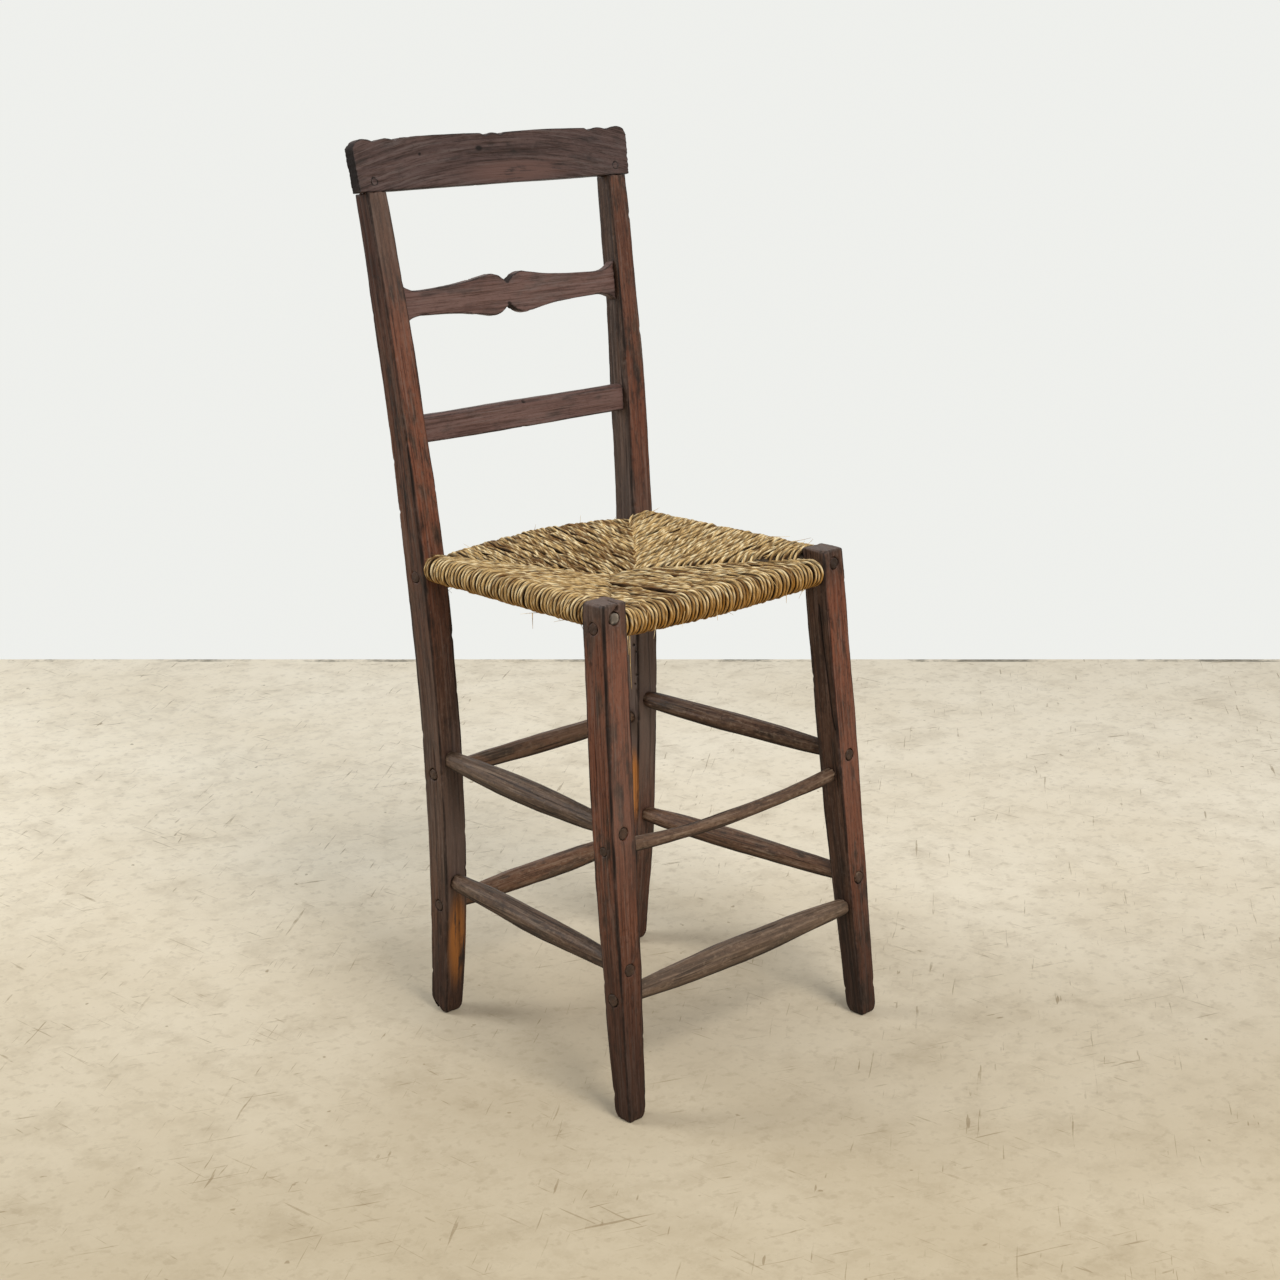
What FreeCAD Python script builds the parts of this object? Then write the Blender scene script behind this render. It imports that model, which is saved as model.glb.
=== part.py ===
import FreeCAD, Part
import math
import os

from FreeCAD import Placement, Rotation, Vector

os.makedirs("parts", exist_ok=True)

# A tall ladder-back chair with a rush seat, in millimetres.
# The floor is z = 0, the front of the chair faces -Y, and the sitter's right hand is on -X.
# Each side word gives the sign of X.
SIDES = {"right": -1, "left": 1}

# Main heights above the floor
knee_height = 320.0
seat_height = 640.0
crest_rise = 452.7
crest_shoulder = seat_height + crest_rise

# Front leg: how far the centre line stands from the chair's middle at each height, and its section
front_foot_out = 219.2
front_knee_out = 208.3
front_seat_out = 195.9
front_foot_y = -238.9
front_knee_y = -202.1
front_seat_y = -170.7
front_foot_width = 28.1
front_foot_depth = 27.6
front_leg_width = 38.3
front_leg_depth = 36.2

# Rear post: the same at foot, knee, seat and crest
rear_foot_out = 176.1
rear_knee_out = 179.3
rear_seat_out = 189.2
rear_crest_out = 207.6
rear_foot_y = 163.4
rear_knee_y = 152.4
rear_seat_y = 171.1
rear_crest_y = 235.1
rear_foot_width = 29.7
rear_foot_depth = 31.7
rear_post_width = 37.6
rear_post_depth = 36.4
rear_crest_width = 31.0
rear_crest_depth = 26.0

# Worn edges of the legs and posts
arris_ease = 1.2
foot_ease = 1.8
leg_top_ease = 1.8

# Crest board
crest_overhang = 24.1
crest_splay = 3.6
crest_bottom_half = rear_crest_out + crest_overhang
crest_top_half = crest_bottom_half + crest_splay
crest_thickness = 16.0
crest_set_forward = 2.8
crest_end_height = 53.0
crest_height = 64.6
crest_run_rise = 1.2
crest_lobe_in = 20.0
crest_lobe_side_in = 6.0
crest_lobe_side_drop = 3.0
crest_lobe_fall_in = 28.0
crest_lobe_fall_drop = 0.9
crest_outer_notch_in = 36.0
crest_bead_in = 52.0
crest_inner_notch_in = 69.3
crest_run_in = 76.3
crest_notch_depth = 3.6
crest_middle_shift = -4.3
crest_middle_bead = 12.9
crest_run_gap = 21.0
crest_tenon_width = 17.0
crest_tenon_thickness = 7.0
crest_tenon_height = 34.0
crest_tenon_root = 17.0
crest_peg_rise = 12.5
crest_peg_diameter = 9.0
crest_peg_proud = 0.2

# Shaped back rail, its middle notch a little off centre
shaped_rise = 312.3
shaped_thickness = 14.0
shaped_set_forward = -0.3
shaped_notch_shift = -8.0
shaped_notch_half = 12.8
shaped_swell_half = 27.2
shaped_swell_reach = 26.5
shaped_shoulder_half = 22.0
shaped_shoulder_reach = 10.8
shaped_taper_half = 20.2
shaped_taper_reach = 74.0
shaped_neck_half = 15.8
shaped_neck_in = 42.0
shaped_flare_half = 17.5
shaped_flare_in = 16.0
shaped_end_half = 27.5
shaped_tenon_height = 22.0

# Lower back rail
lower_rise = 155.9
lower_height = 35.5
lower_thickness = 15.0
lower_set_forward = 1.1
lower_chamfer = 4.0
lower_tenon_height = 22.0

# Tenons of both back rails
back_tenon_thickness = 8.0
back_tenon_length = 17.0

# Seat rails: round sticks inside the rush, the side pair above the front and rear pair
side_rail_drop = 18.0
end_rail_drop = 30.0
seat_rail_diameter = 23.0
seat_tenon_diameter = 16.0

# Swelling stretchers: heights at their front and rear ends, or one height, and thickness in the middle
right_upper_front_height = 362.5
right_upper_rear_height = 366.0
right_upper_diameter = 33.5
right_lower_front_height = 193.0
right_lower_rear_height = 194.0
right_lower_diameter = 30.0
left_upper_front_height = 364.5
left_upper_rear_height = 370.0
left_upper_diameter = 27.5
left_lower_front_height = 194.0
left_lower_rear_height = 198.5
left_lower_diameter = 30.0
front_lower_height = 154.5
front_lower_diameter = 33.0
rear_upper_height = 344.5
rear_upper_diameter = 26.0
rear_lower_height = 158.5
rear_lower_diameter = 30.5
stretcher_end_diameter = 19.8

# Upper front stretcher: a thin stick that hangs in a bow
front_upper_height = 340.0
front_upper_diameter = 18.0
front_upper_sag = 12.0
front_upper_tenon = 12.0

# Round tenons
stretcher_tenon_diameter = 16.0
tenon_proud = 0.8
tenon_root = 1.5

# Rush seat: a roll round each seat rail, and a top and bottom sheet that dip to a short middle seam
rush_cord = 6.5
rush_top_middle_drop = 27.0
rush_middle_thickness = 21.0
rush_seam_half = 25.0
rush_rear_crown = 12.0
stuffing_from_rail = 24.0
stuffing_middle_gap = 40.0
stuffing_end_gap = 26.0

# Clearances
joint_clearance = 0.1
mortise_end_clearance = 0.5
rush_clearance = 0.3

# How far cutting tools reach past what they cut, how near two heights count as one,
# and how many level sections shape each leg
CUT_MARGIN = 30.0
CREST_CUT = 120.0
SAME_HEIGHT = 1e-4
FRONT_SECTIONS = 3
REAR_SECTIONS = 5


def through(stations, height):
    """Value at one height of the smooth curve through (height, value) stations."""
    total = 0.0
    for own_height, value in stations:
        weight = 1.0
        for other_height, _ in stations:
            if other_height != own_height:
                weight *= (height - other_height) / (own_height - other_height)
        total += value * weight
    return total


FRONT = {
    "out": [(0, front_foot_out), (knee_height, front_knee_out), (seat_height, front_seat_out)],
    "y": [(0, front_foot_y), (knee_height, front_knee_y), (seat_height, front_seat_y)],
    "width": [(0, front_foot_width), (knee_height, front_leg_width), (seat_height, front_leg_width)],
    "depth": [(0, front_foot_depth), (knee_height, front_leg_depth), (seat_height, front_leg_depth)],
}

REAR_HEIGHTS = (0, knee_height, seat_height, crest_shoulder)
REAR = {
    "out": list(zip(REAR_HEIGHTS, (rear_foot_out, rear_knee_out, rear_seat_out, rear_crest_out))),
    "y": list(zip(REAR_HEIGHTS, (rear_foot_y, rear_knee_y, rear_seat_y, rear_crest_y))),
    "width": list(zip(REAR_HEIGHTS, (rear_foot_width, rear_post_width, rear_post_width, rear_crest_width))),
    "depth": list(zip(REAR_HEIGHTS, (rear_foot_depth, rear_post_depth, rear_post_depth, rear_crest_depth))),
}


def size_at(line, name, height):
    return through(line[name], height)


def centre_at(line, side, height):
    """Centre of a leg or post at one height."""
    return Vector(SIDES[side] * size_at(line, "out", height), size_at(line, "y", height), height)


def slope_at(line, height):
    """Backward lean of a leg at one height, as a run over a rise."""
    step = 1.0
    return (size_at(line, "y", height + step) - size_at(line, "y", height - step)) / (2 * step)


def eased_rectangle(middle, width, depth, ease):
    """Closed wire of a level rectangle with its four corners planed off."""
    half_x, half_y = width / 2, depth / 2
    points = []
    for sx, sy in ((1, -1), (1, 1), (-1, 1), (-1, -1)):
        beside = Vector(sx * half_x, sy * (half_y - ease), 0)
        along = Vector(sx * (half_x - ease), sy * half_y, 0)
        points += [along, beside] if sx * sy < 0 else [beside, along]
    points.append(points[0])
    return Part.makePolygon([middle + point for point in points])


def leg_blank(line, side, top, sections, grow=0.0):
    """Leg or post before any mortise is cut, lofted through level sections."""
    wires = []
    for index in range(sections):
        height = top * index / (sections - 1)
        width = size_at(line, "width", height) + 2 * grow
        depth = size_at(line, "depth", height) + 2 * grow
        wires.append(eased_rectangle(centre_at(line, side, height), width, depth, arris_ease))
    return Part.makeLoft(wires, True, False)


def level_edges(shape, height):
    """Edges that lie flat at one height."""
    found = []
    for edge in shape.Edges:
        box = edge.BoundBox
        if abs(box.ZMin - height) < SAME_HEIGHT and abs(box.ZMax - height) < SAME_HEIGHT:
            found.append(edge)
    return found


def rod(start, end, diameter):
    """Round stick between two points."""
    return Part.makeCylinder(diameter / 2, start.distanceToPoint(end), start, end - start)


def spindle(start, end, end_diameter, middle_diameter):
    """Stick that swells smoothly from both ends to its middle."""
    length = start.distanceToPoint(end)
    end_radius, middle_radius = end_diameter / 2, middle_diameter / 2
    profile = Part.BSplineCurve()
    profile.interpolate([
        Vector(end_radius, 0, 0),
        Vector(middle_radius, 0, length / 2),
        Vector(end_radius, 0, length),
    ])
    outline = Part.Wire([
        Part.makeLine(Vector(0, 0, 0), Vector(end_radius, 0, 0)),
        profile.toShape(),
        Part.makeLine(Vector(end_radius, 0, length), Vector(0, 0, length)),
        Part.makeLine(Vector(0, 0, length), Vector(0, 0, 0)),
    ])
    solid = Part.Face(outline).revolve(Vector(0, 0, 0), Vector(0, 0, 1), 360)
    solid.Placement = Placement(start, Rotation(Vector(0, 0, 1), end - start))
    return solid


def whole(shape):
    """The largest solid of a cut or joined shape."""
    return max(shape.Solids, key=lambda solid: solid.Volume)


def past_face(middle, away_from, half_size, extra):
    """Point on a stick's axis that lies past a leg's outer face."""
    along = (middle - away_from).normalize()
    return middle + along * (half_size + extra)


# Legs and posts as blanks, and slightly larger ones that keep the rush clear of them
rear_top = crest_shoulder + CUT_MARGIN
room_top = seat_height + CUT_MARGIN
front_blank = {side: leg_blank(FRONT, side, seat_height, FRONT_SECTIONS) for side in SIDES}
rear_blank = {side: leg_blank(REAR, side, rear_top, REAR_SECTIONS) for side in SIDES}
front_room = {side: leg_blank(FRONT, side, room_top, FRONT_SECTIONS, rush_clearance) for side in SIDES}
rear_room = {side: leg_blank(REAR, side, rear_top, REAR_SECTIONS, rush_clearance) for side in SIDES}

# Mortises to cut from each leg, gathered while the sticks are made
front_cuts = {side: [] for side in SIDES}
rear_cuts = {side: [] for side in SIDES}
parts = {}


def crossing(first, second, body, tenon_diameter):
    """Stick from leg to leg with a round tenon through each, its shoulders coped to the legs.

    Each end is (leg blank, list of its cuts, centre, half size of the leg along the stick).
    The mortises are returned with the stick.
    """
    stick = whole(body.cut([first[0], second[0]]))
    mortises = []
    for own, other in ((first, second), (second, first)):
        _, cuts, middle, half_size = own
        root = past_face(middle, other[2], -half_size, -tenon_root)
        tip = past_face(middle, other[2], half_size, tenon_proud)
        stick = stick.fuse(rod(root, tip, tenon_diameter))
        inside = past_face(middle, other[2], -half_size, -CUT_MARGIN)
        outside = past_face(middle, other[2], half_size, CUT_MARGIN)
        mortise = rod(inside, outside, tenon_diameter + 2 * joint_clearance)
        mortises.append(mortise)
        cuts.append(mortise)
    return whole(stick.removeSplitter()), mortises


def front_end(side, height, size_name):
    half_size = size_at(FRONT, size_name, height) / 2
    return front_blank[side], front_cuts[side], centre_at(FRONT, side, height), half_size


def rear_end(side, height, size_name):
    half_size = size_at(REAR, size_name, height) / 2
    return rear_blank[side], rear_cuts[side], centre_at(REAR, side, height), half_size


def side_ends(side, front_height, rear_height):
    return front_end(side, front_height, "depth"), rear_end(side, rear_height, "depth")


def front_ends(height):
    return front_end("right", height, "width"), front_end("left", height, "width")


def rear_ends(height):
    return rear_end("right", height, "width"), rear_end("left", height, "width")


def spindle_crossing(ends, middle_diameter):
    first, second = ends
    body = spindle(first[2], second[2], stretcher_end_diameter, middle_diameter)
    return crossing(first, second, body, stretcher_tenon_diameter)[0]


def bowed_stick(start, end, sag, diameter):
    """Thin stick that hangs in a shallow arc below its two ends."""
    low = (start + end) * 0.5 - Vector(0, 0, sag)
    arc = Part.Arc(start, low, end).toShape()
    ring = Part.makeCircle(diameter / 2, start, arc.tangentAt(arc.FirstParameter))
    return Part.Wire([arc]).makePipeShell([Part.Wire([ring])], True, False)


# Stretchers
parts["stretcher_right_upper"] = spindle_crossing(
    side_ends("right", right_upper_front_height, right_upper_rear_height), right_upper_diameter)
parts["stretcher_right_lower"] = spindle_crossing(
    side_ends("right", right_lower_front_height, right_lower_rear_height), right_lower_diameter)
parts["stretcher_left_upper"] = spindle_crossing(
    side_ends("left", left_upper_front_height, left_upper_rear_height), left_upper_diameter)
parts["stretcher_left_lower"] = spindle_crossing(
    side_ends("left", left_lower_front_height, left_lower_rear_height), left_lower_diameter)
parts["stretcher_front_lower"] = spindle_crossing(front_ends(front_lower_height), front_lower_diameter)
parts["stretcher_rear_upper"] = spindle_crossing(rear_ends(rear_upper_height), rear_upper_diameter)
parts["stretcher_rear_lower"] = spindle_crossing(rear_ends(rear_lower_height), rear_lower_diameter)

first, second = front_ends(front_upper_height)
body = bowed_stick(first[2], second[2], front_upper_sag, front_upper_diameter)
parts["stretcher_front_upper"] = crossing(first, second, body, front_upper_tenon)[0]

# Seat rails
side_rail_height = seat_height - side_rail_drop
end_rail_height = seat_height - end_rail_drop
rail_ends = {
    "right": side_ends("right", side_rail_height, side_rail_height),
    "left": side_ends("left", side_rail_height, side_rail_height),
    "front": front_ends(end_rail_height),
    "rear": rear_ends(end_rail_height),
}
seat_mortises = {}
for name, (first, second) in rail_ends.items():
    body = rod(first[2], second[2], seat_rail_diameter)
    parts["seat_rail_" + name], seat_mortises[name] = crossing(first, second, body, seat_tenon_diameter)

# A side rail's tenon passes just above an end rail's tenon and locks it by a shallow notch
for name in ("front", "rear"):
    rail = parts["seat_rail_" + name]
    parts["seat_rail_" + name] = whole(rail.cut(seat_mortises["right"] + seat_mortises["left"]))


def leaning(height, set_forward):
    """Placement of a back board: its middle plane leans like the posts at that height."""
    slope = slope_at(REAR, height)
    lean = math.degrees(math.atan(slope))
    base = Vector(0, size_at(REAR, "y", height) - set_forward, height)
    return Placement(base, Rotation(Vector(1, 0, 0), -lean))


def board(outline_edges, thickness):
    """Upright board with the given outline in X and Z, centred on its own middle plane."""
    face = Part.Face(Part.Wire(outline_edges))
    face.translate(Vector(0, -thickness / 2, 0))
    return face.extrude(Vector(0, thickness, 0))


def block(left, right, thickness, low, high):
    """Upright block between two X values, centred on the middle plane."""
    corner = Vector(left, -thickness / 2, low)
    return Part.makeBox(right - left, thickness, high - low, corner)


def placed(shape, placement):
    moved = shape.copy()
    moved.Placement = placement.multiply(moved.Placement)
    return moved


def flat(x, z):
    return Vector(x, 0, z)


def line_to(points):
    return [Part.makeLine(a, b) for a, b in zip(points, points[1:])]


def arc_through(a, b, c):
    return Part.Arc(a, b, c).toShape()


def curve_through(points):
    curve = Part.BSplineCurve()
    curve.interpolate(points)
    return curve.toShape()


def crest_outline():
    """Crest board seen from the front: scalloped ends and a small bead in the middle."""
    notch = crest_height - crest_notch_depth
    edges = line_to([
        flat(-crest_top_half, crest_end_height),
        flat(-crest_bottom_half, 0),
        flat(crest_bottom_half, 0),
        flat(crest_top_half, crest_end_height),
    ])
    for sign in (1, -1):
        end = flat(sign * crest_top_half, crest_end_height)
        lobe = flat(sign * (crest_top_half - crest_lobe_side_in), crest_height - crest_lobe_side_drop)
        lobe_top = flat(sign * (crest_top_half - crest_lobe_in), crest_height)
        outer_notch = flat(sign * (crest_top_half - crest_outer_notch_in), notch)
        lobe_fall = flat(sign * (crest_top_half - crest_lobe_fall_in), crest_height - crest_lobe_fall_drop)
        bead_top = flat(sign * (crest_top_half - crest_bead_in), crest_height)
        inner_notch = flat(sign * (crest_top_half - crest_inner_notch_in), notch)
        run_start = flat(sign * (crest_top_half - crest_run_in), crest_height)
        run_end = flat(crest_middle_shift + sign * crest_run_gap, crest_height)
        middle_notch = flat(crest_middle_shift + sign * crest_middle_bead, notch)
        run_middle = (run_start + run_end) * 0.5 + flat(0, crest_run_rise)
        edges.append(arc_through(end, lobe, lobe_top))
        edges.append(arc_through(lobe_top, lobe_fall, outer_notch))
        edges.append(arc_through(outer_notch, bead_top, inner_notch))
        edges.append(Part.makeLine(inner_notch, run_start))
        edges.append(arc_through(run_start, run_middle, run_end))
        edges.append(Part.makeLine(run_end, middle_notch))
    edges.append(arc_through(
        flat(crest_middle_shift - crest_middle_bead, notch),
        flat(crest_middle_shift, crest_height),
        flat(crest_middle_shift + crest_middle_bead, notch)))
    return Part.sortEdges(edges)[0]


# Crest board, with a tenon of each post pinned in it by a peg
crest_place = leaning(crest_shoulder, crest_set_forward)
crest = board(crest_outline(), crest_thickness)
pegs = []
post_tenons = {}
for side, sign in SIDES.items():
    middle = sign * rear_crest_out
    half = crest_tenon_width / 2
    tenon = block(middle - half, middle + half, crest_tenon_thickness, -crest_tenon_root, crest_tenon_height)
    room_half = half + joint_clearance
    room_thickness = crest_tenon_thickness + 2 * joint_clearance
    room_height = crest_tenon_height + mortise_end_clearance
    room = block(middle - room_half, middle + room_half, room_thickness, -CUT_MARGIN, room_height)
    front_face = Vector(middle, -crest_thickness / 2, crest_peg_rise)
    back_face = Vector(middle, crest_thickness / 2, crest_peg_rise)
    proud = Vector(0, -crest_peg_proud, 0)
    reach = Vector(0, -CUT_MARGIN, 0)
    hole = rod(front_face + reach, back_face - reach, crest_peg_diameter + 2 * joint_clearance)
    pegs.append(placed(rod(front_face + proud, back_face, crest_peg_diameter), crest_place))
    crest = crest.cut(room).cut(hole)
    post_tenons[side] = placed(tenon.cut(hole), crest_place)
parts["crest_board"] = placed(whole(crest), crest_place)
parts["crest_pegs"] = Part.makeCompound(pegs)


def back_tenon(side, height, place, tenon_height):
    """Flat tenon of a back rail, and the mortise it needs in the post."""
    sign = SIDES[side]
    inner = size_at(REAR, "out", height) - size_at(REAR, "width", height) / 2
    tip = inner + back_tenon_length
    half = tenon_height / 2
    tenon = block(*sorted((0, sign * tip)), back_tenon_thickness, -half, half)
    deep = tip + mortise_end_clearance
    tall = half + joint_clearance
    room = block(*sorted((0, sign * deep)), back_tenon_thickness + 2 * joint_clearance, -tall, tall)
    return placed(tenon, place), placed(room, place)


def back_rail(body, height, place, tenon_height):
    """Back rail with a tenon in each post; its shoulders are coped to the posts."""
    rail = whole(placed(body, place).cut(list(rear_blank.values())))
    for side in SIDES:
        tenon, room = back_tenon(side, height, place, tenon_height)
        rail = rail.fuse(tenon)
        rear_cuts[side].append(room)
    return whole(rail.removeSplitter())


def shaped_outline(end):
    """Shaped back rail from the front: flared ends, long necks, and two swells with a notch between."""
    notch = shaped_notch_shift
    edges = [
        Part.makeLine(flat(-end, -shaped_end_half), flat(-end, shaped_end_half)),
        Part.makeLine(flat(end, -shaped_end_half), flat(end, shaped_end_half)),
    ]
    for up in (1, -1):
        for sign in (1, -1):
            swell = flat(notch + sign * shaped_swell_reach, up * shaped_swell_half)
            shoulder = flat(notch + sign * shaped_shoulder_reach, up * shaped_shoulder_half)
            edges.append(curve_through([
                flat(sign * end, up * shaped_end_half),
                flat(sign * (end - shaped_flare_in), up * shaped_flare_half),
                flat(sign * (end - shaped_neck_in), up * shaped_neck_half),
                flat(notch + sign * shaped_taper_reach, up * shaped_taper_half),
                swell,
            ]))
            edges.append(arc_through(swell, shoulder, flat(notch, up * shaped_notch_half)))
    return Part.sortEdges(edges)[0]


shaped_height = seat_height + shaped_rise
shaped_end = size_at(REAR, "out", shaped_height) - size_at(REAR, "width", shaped_height) / 2 + arris_ease
parts["shaped_back_rail"] = back_rail(
    board(shaped_outline(shaped_end), shaped_thickness),
    shaped_height, leaning(shaped_height, shaped_set_forward), shaped_tenon_height)

lower_rail_height = seat_height + lower_rise
lower_end = size_at(REAR, "out", lower_rail_height)
lower_body = block(-lower_end, lower_end, lower_thickness, -lower_height / 2, lower_height / 2)
front_top = [edge for edge in lower_body.Edges
             if edge.BoundBox.YMax < 0 and edge.BoundBox.ZMin > 0]
lower_body = lower_body.makeChamfer(lower_chamfer, front_top)
parts["lower_back_rail"] = back_rail(
    lower_body, lower_rail_height, leaning(lower_rail_height, lower_set_forward), lower_tenon_height)

# Legs and posts with their mortises
past_posts = rear_crest_out + rear_crest_width / 2 + CUT_MARGIN
above_crest_joint = placed(block(-past_posts, past_posts, CREST_CUT, 0, CREST_CUT), crest_place)
for side in SIDES:
    leg = front_blank[side]
    leg = leg.makeChamfer(leg_top_ease, level_edges(leg, seat_height))
    leg = leg.makeChamfer(foot_ease, level_edges(leg, 0))
    parts["front_leg_" + side] = whole(leg.cut(front_cuts[side]))
    post = rear_blank[side].cut(above_crest_joint).fuse(post_tenons[side]).removeSplitter()
    post = post.makeChamfer(foot_ease, level_edges(post, 0))
    parts["rear_post_" + side] = whole(post.cut(rear_cuts[side]))

# Rush seat
roll_diameter = seat_rail_diameter + 2 * rush_cord
rush_middle_top = seat_height - rush_top_middle_drop
rush_middle_bottom = rush_middle_top - rush_middle_thickness


def panel_section(left, right, low, high, crown):
    """Upright closed wire across a panel, with a top that may be crowned."""
    corners = [Vector(left.x, left.y, low), Vector(right.x, right.y, low),
               Vector(right.x, right.y, high), Vector(left.x, left.y, high)]
    top = Part.makeLine(corners[2], corners[3])
    if crown:
        highest = (corners[2] + corners[3]) * 0.5 + Vector(0, 0, crown)
        top = arc_through(corners[2], highest, corners[3])
    return Part.Wire([Part.makeLine(corners[0], corners[1]), Part.makeLine(corners[1], corners[2]),
                      top, Part.makeLine(corners[3], corners[0])])


def panel(outer, inner, outer_heights, inner_heights, crown=0.0):
    """Wedge of rush from a seat rail to the middle seam."""
    return Part.makeLoft([
        panel_section(outer[0], outer[1], outer_heights[0], outer_heights[1], crown),
        panel_section(inner[0], inner[1], inner_heights[0], inner_heights[1], 0.0),
    ], True, True)


seam_right = Vector(-rush_seam_half, 0, 0)
seam_left = Vector(rush_seam_half, 0, 0)
seam_width = Vector(0, rush_cord / 2, 0)
inner_lines = {
    "right": (seam_right - seam_width, seam_right + seam_width),
    "left": (seam_left - seam_width, seam_left + seam_width),
    "front": (seam_right, seam_left),
    "rear": (seam_right, seam_left),
}


def between(a, b, distance):
    """Point that lies a distance from a on the way to b."""
    return a + (b - a).normalize() * distance


def seat_panel(name, layer, from_rail, to_seam, end_gap):
    """One of the four panels; a layer of rush left off each face makes the pocket inside it."""
    first, second = rail_ends[name]
    height = first[2].z
    half = roll_diameter / 2
    crown = rush_rear_crown if name == "rear" else 0.0
    outer = []
    inner = []
    for own, other, seam in ((first[2], second[2], inner_lines[name][0]),
                             (second[2], first[2], inner_lines[name][1])):
        corner = between(own, other, end_gap) if end_gap else own
        target = Vector(seam.x, seam.y, height)
        outer.append(between(corner, target, from_rail) if from_rail else corner)
        inner.append(between(target, corner, to_seam) if to_seam else target)
    return panel(outer, inner, (height - half + layer, height + half - layer),
                 (rush_middle_bottom + layer, rush_middle_top - layer), crown)


rush = None
for name, (first, second) in rail_ends.items():
    roll = rod(first[2], second[2], roll_diameter)
    wedge = seat_panel(name, 0.0, 0.0, 0.0, 0.0)
    rush = roll.fuse(wedge) if rush is None else rush.fuse([roll, wedge])

stuffing = []
for name, (first, second) in rail_ends.items():
    pad = seat_panel(name, rush_cord, stuffing_from_rail, stuffing_middle_gap, stuffing_end_gap)
    stuffing.append(pad)
    rush = rush.cut(pad)
    rush = rush.cut(rod(first[2], second[2], seat_rail_diameter + 2 * rush_clearance))
for side in SIDES:
    rush = rush.cut([front_room[side], rear_room[side]])
parts["rush_seat"] = whole(rush)
parts["rush_stuffing"] = Part.makeCompound(stuffing)

for name, shape in parts.items():
    shape.exportStep("parts/" + name + ".step")
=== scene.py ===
import math
from collections import namedtuple

import bmesh
import bpy
import numpy as np
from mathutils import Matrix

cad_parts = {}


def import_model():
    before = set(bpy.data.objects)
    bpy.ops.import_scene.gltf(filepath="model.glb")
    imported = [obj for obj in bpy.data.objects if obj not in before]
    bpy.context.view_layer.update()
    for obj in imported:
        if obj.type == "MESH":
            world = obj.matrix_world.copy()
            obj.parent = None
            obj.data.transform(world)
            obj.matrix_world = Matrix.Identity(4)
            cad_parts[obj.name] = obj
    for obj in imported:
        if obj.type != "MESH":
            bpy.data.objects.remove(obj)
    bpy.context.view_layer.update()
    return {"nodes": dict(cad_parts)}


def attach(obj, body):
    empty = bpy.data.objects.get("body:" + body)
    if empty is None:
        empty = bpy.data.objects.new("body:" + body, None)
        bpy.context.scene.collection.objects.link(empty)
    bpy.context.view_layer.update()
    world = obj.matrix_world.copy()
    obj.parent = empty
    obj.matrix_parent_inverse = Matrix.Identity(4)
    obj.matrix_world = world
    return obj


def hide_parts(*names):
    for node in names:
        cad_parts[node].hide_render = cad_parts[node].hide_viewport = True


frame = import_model()
scene = bpy.context.scene
scene.view_settings.view_transform = "Standard"

# The photograph's camera: place in metres, angles in degrees, lens and sensor in millimetres
CAMERA_PLACE = (-1.9973, -2.0612, 1.3260)
CAMERA_PITCH = 15.6954
CAMERA_AZIMUTH = -44.5531
CAMERA_LENS = 64.27
SENSOR_WIDTH = 36.0

# Soft lamps: place, size, power and colour, and the point that they aim at
LAMPS = {
    "key": ((-0.7, -3.2, 3.1), 1.8, 125, (1.0, 0.97, 0.93)),
    "side": ((-2.2, 2.6, 2.8), 1.8, 75, (0.95, 0.98, 1.0))}
LAMP_AIM = (0, 0, 0.55)

# Even light from all round, and the wall that the camera sees
SKY_COLOUR = (0.95, 0.97, 1.0, 1.0)
SKY_STRENGTH = 0.42
WALL_COLOUR = (0.860, 0.868, 0.840, 1.0)

# Where the far edge of the floor lies along the camera's view, and how far the floor reaches
FLOOR_FAR = 1.70
FLOOR_REACH = 9.0

# Darker and lighter colour of the floor near and far, and where one fades into the other: painted light that
# makes the far floor paler and painted shade on the near floor
FLOOR_NEAR_SHADED_COLOURS = ((0.500, 0.410, 0.270), (0.590, 0.500, 0.350))
FLOOR_FAR_LIT_COLOURS = ((0.900, 0.798, 0.617), (0.980, 0.892, 0.720))
FLOOR_LIGHT_FADE = (-1.1, 1.2)
# Colour of the dirt on the floor, also laid on as the painted shadow under the chair
FLOOR_DIRT_AND_SHADE = (0.260, 0.185, 0.095)

# Distances from the chair's middle between which the painted shadow under it fades out
SHADED_UNDER_CHAIR = (0.85, 0.25)

# Depth of the dark joint between floor and wall, and its dirt
FLOOR_JOINT = 0.022
JOINT_DIRT = (0.130, 0.115, 0.085)

# Directions of the scratches in the floor, and how strong they are
FLOOR_SCRATCHES = ((0.4, 0.60), (1.5, 0.50), (2.5, 0.60))

# Range of random phases, about one full turn in radians
PHASES = (0, 6.28)


# Numbers and fields

RIPPLE_WAVES = 22


def ripple(points, lengths, seed):
    """Smooth random field about -1 to 1, with feature lengths for each axis."""
    draw = np.random.default_rng(seed)
    turns = draw.normal(size=(RIPPLE_WAVES, 3)) / np.asarray(lengths)
    phases = draw.uniform(0, 2 * math.pi, RIPPLE_WAVES)
    return np.sin(points @ turns.T * math.pi + phases).sum(axis=1) * math.sqrt(1.0 / RIPPLE_WAVES)


def smooth_step(low, high, value):
    share = np.clip((value - low) / (high - low), 0, 1)
    return share * share * (3 - 2 * share)


def unit(vector):
    return vector / np.linalg.norm(vector)


def unit_rows(vectors):
    return vectors / np.linalg.norm(vectors, axis=1)[:, None]


# Meshes

def new_piece(name, points, faces):
    mesh = bpy.data.meshes.new(name)
    mesh.from_pydata(points, [], faces)
    piece = bpy.data.objects.new(name, mesh)
    scene.collection.objects.link(piece)
    return piece


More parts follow.
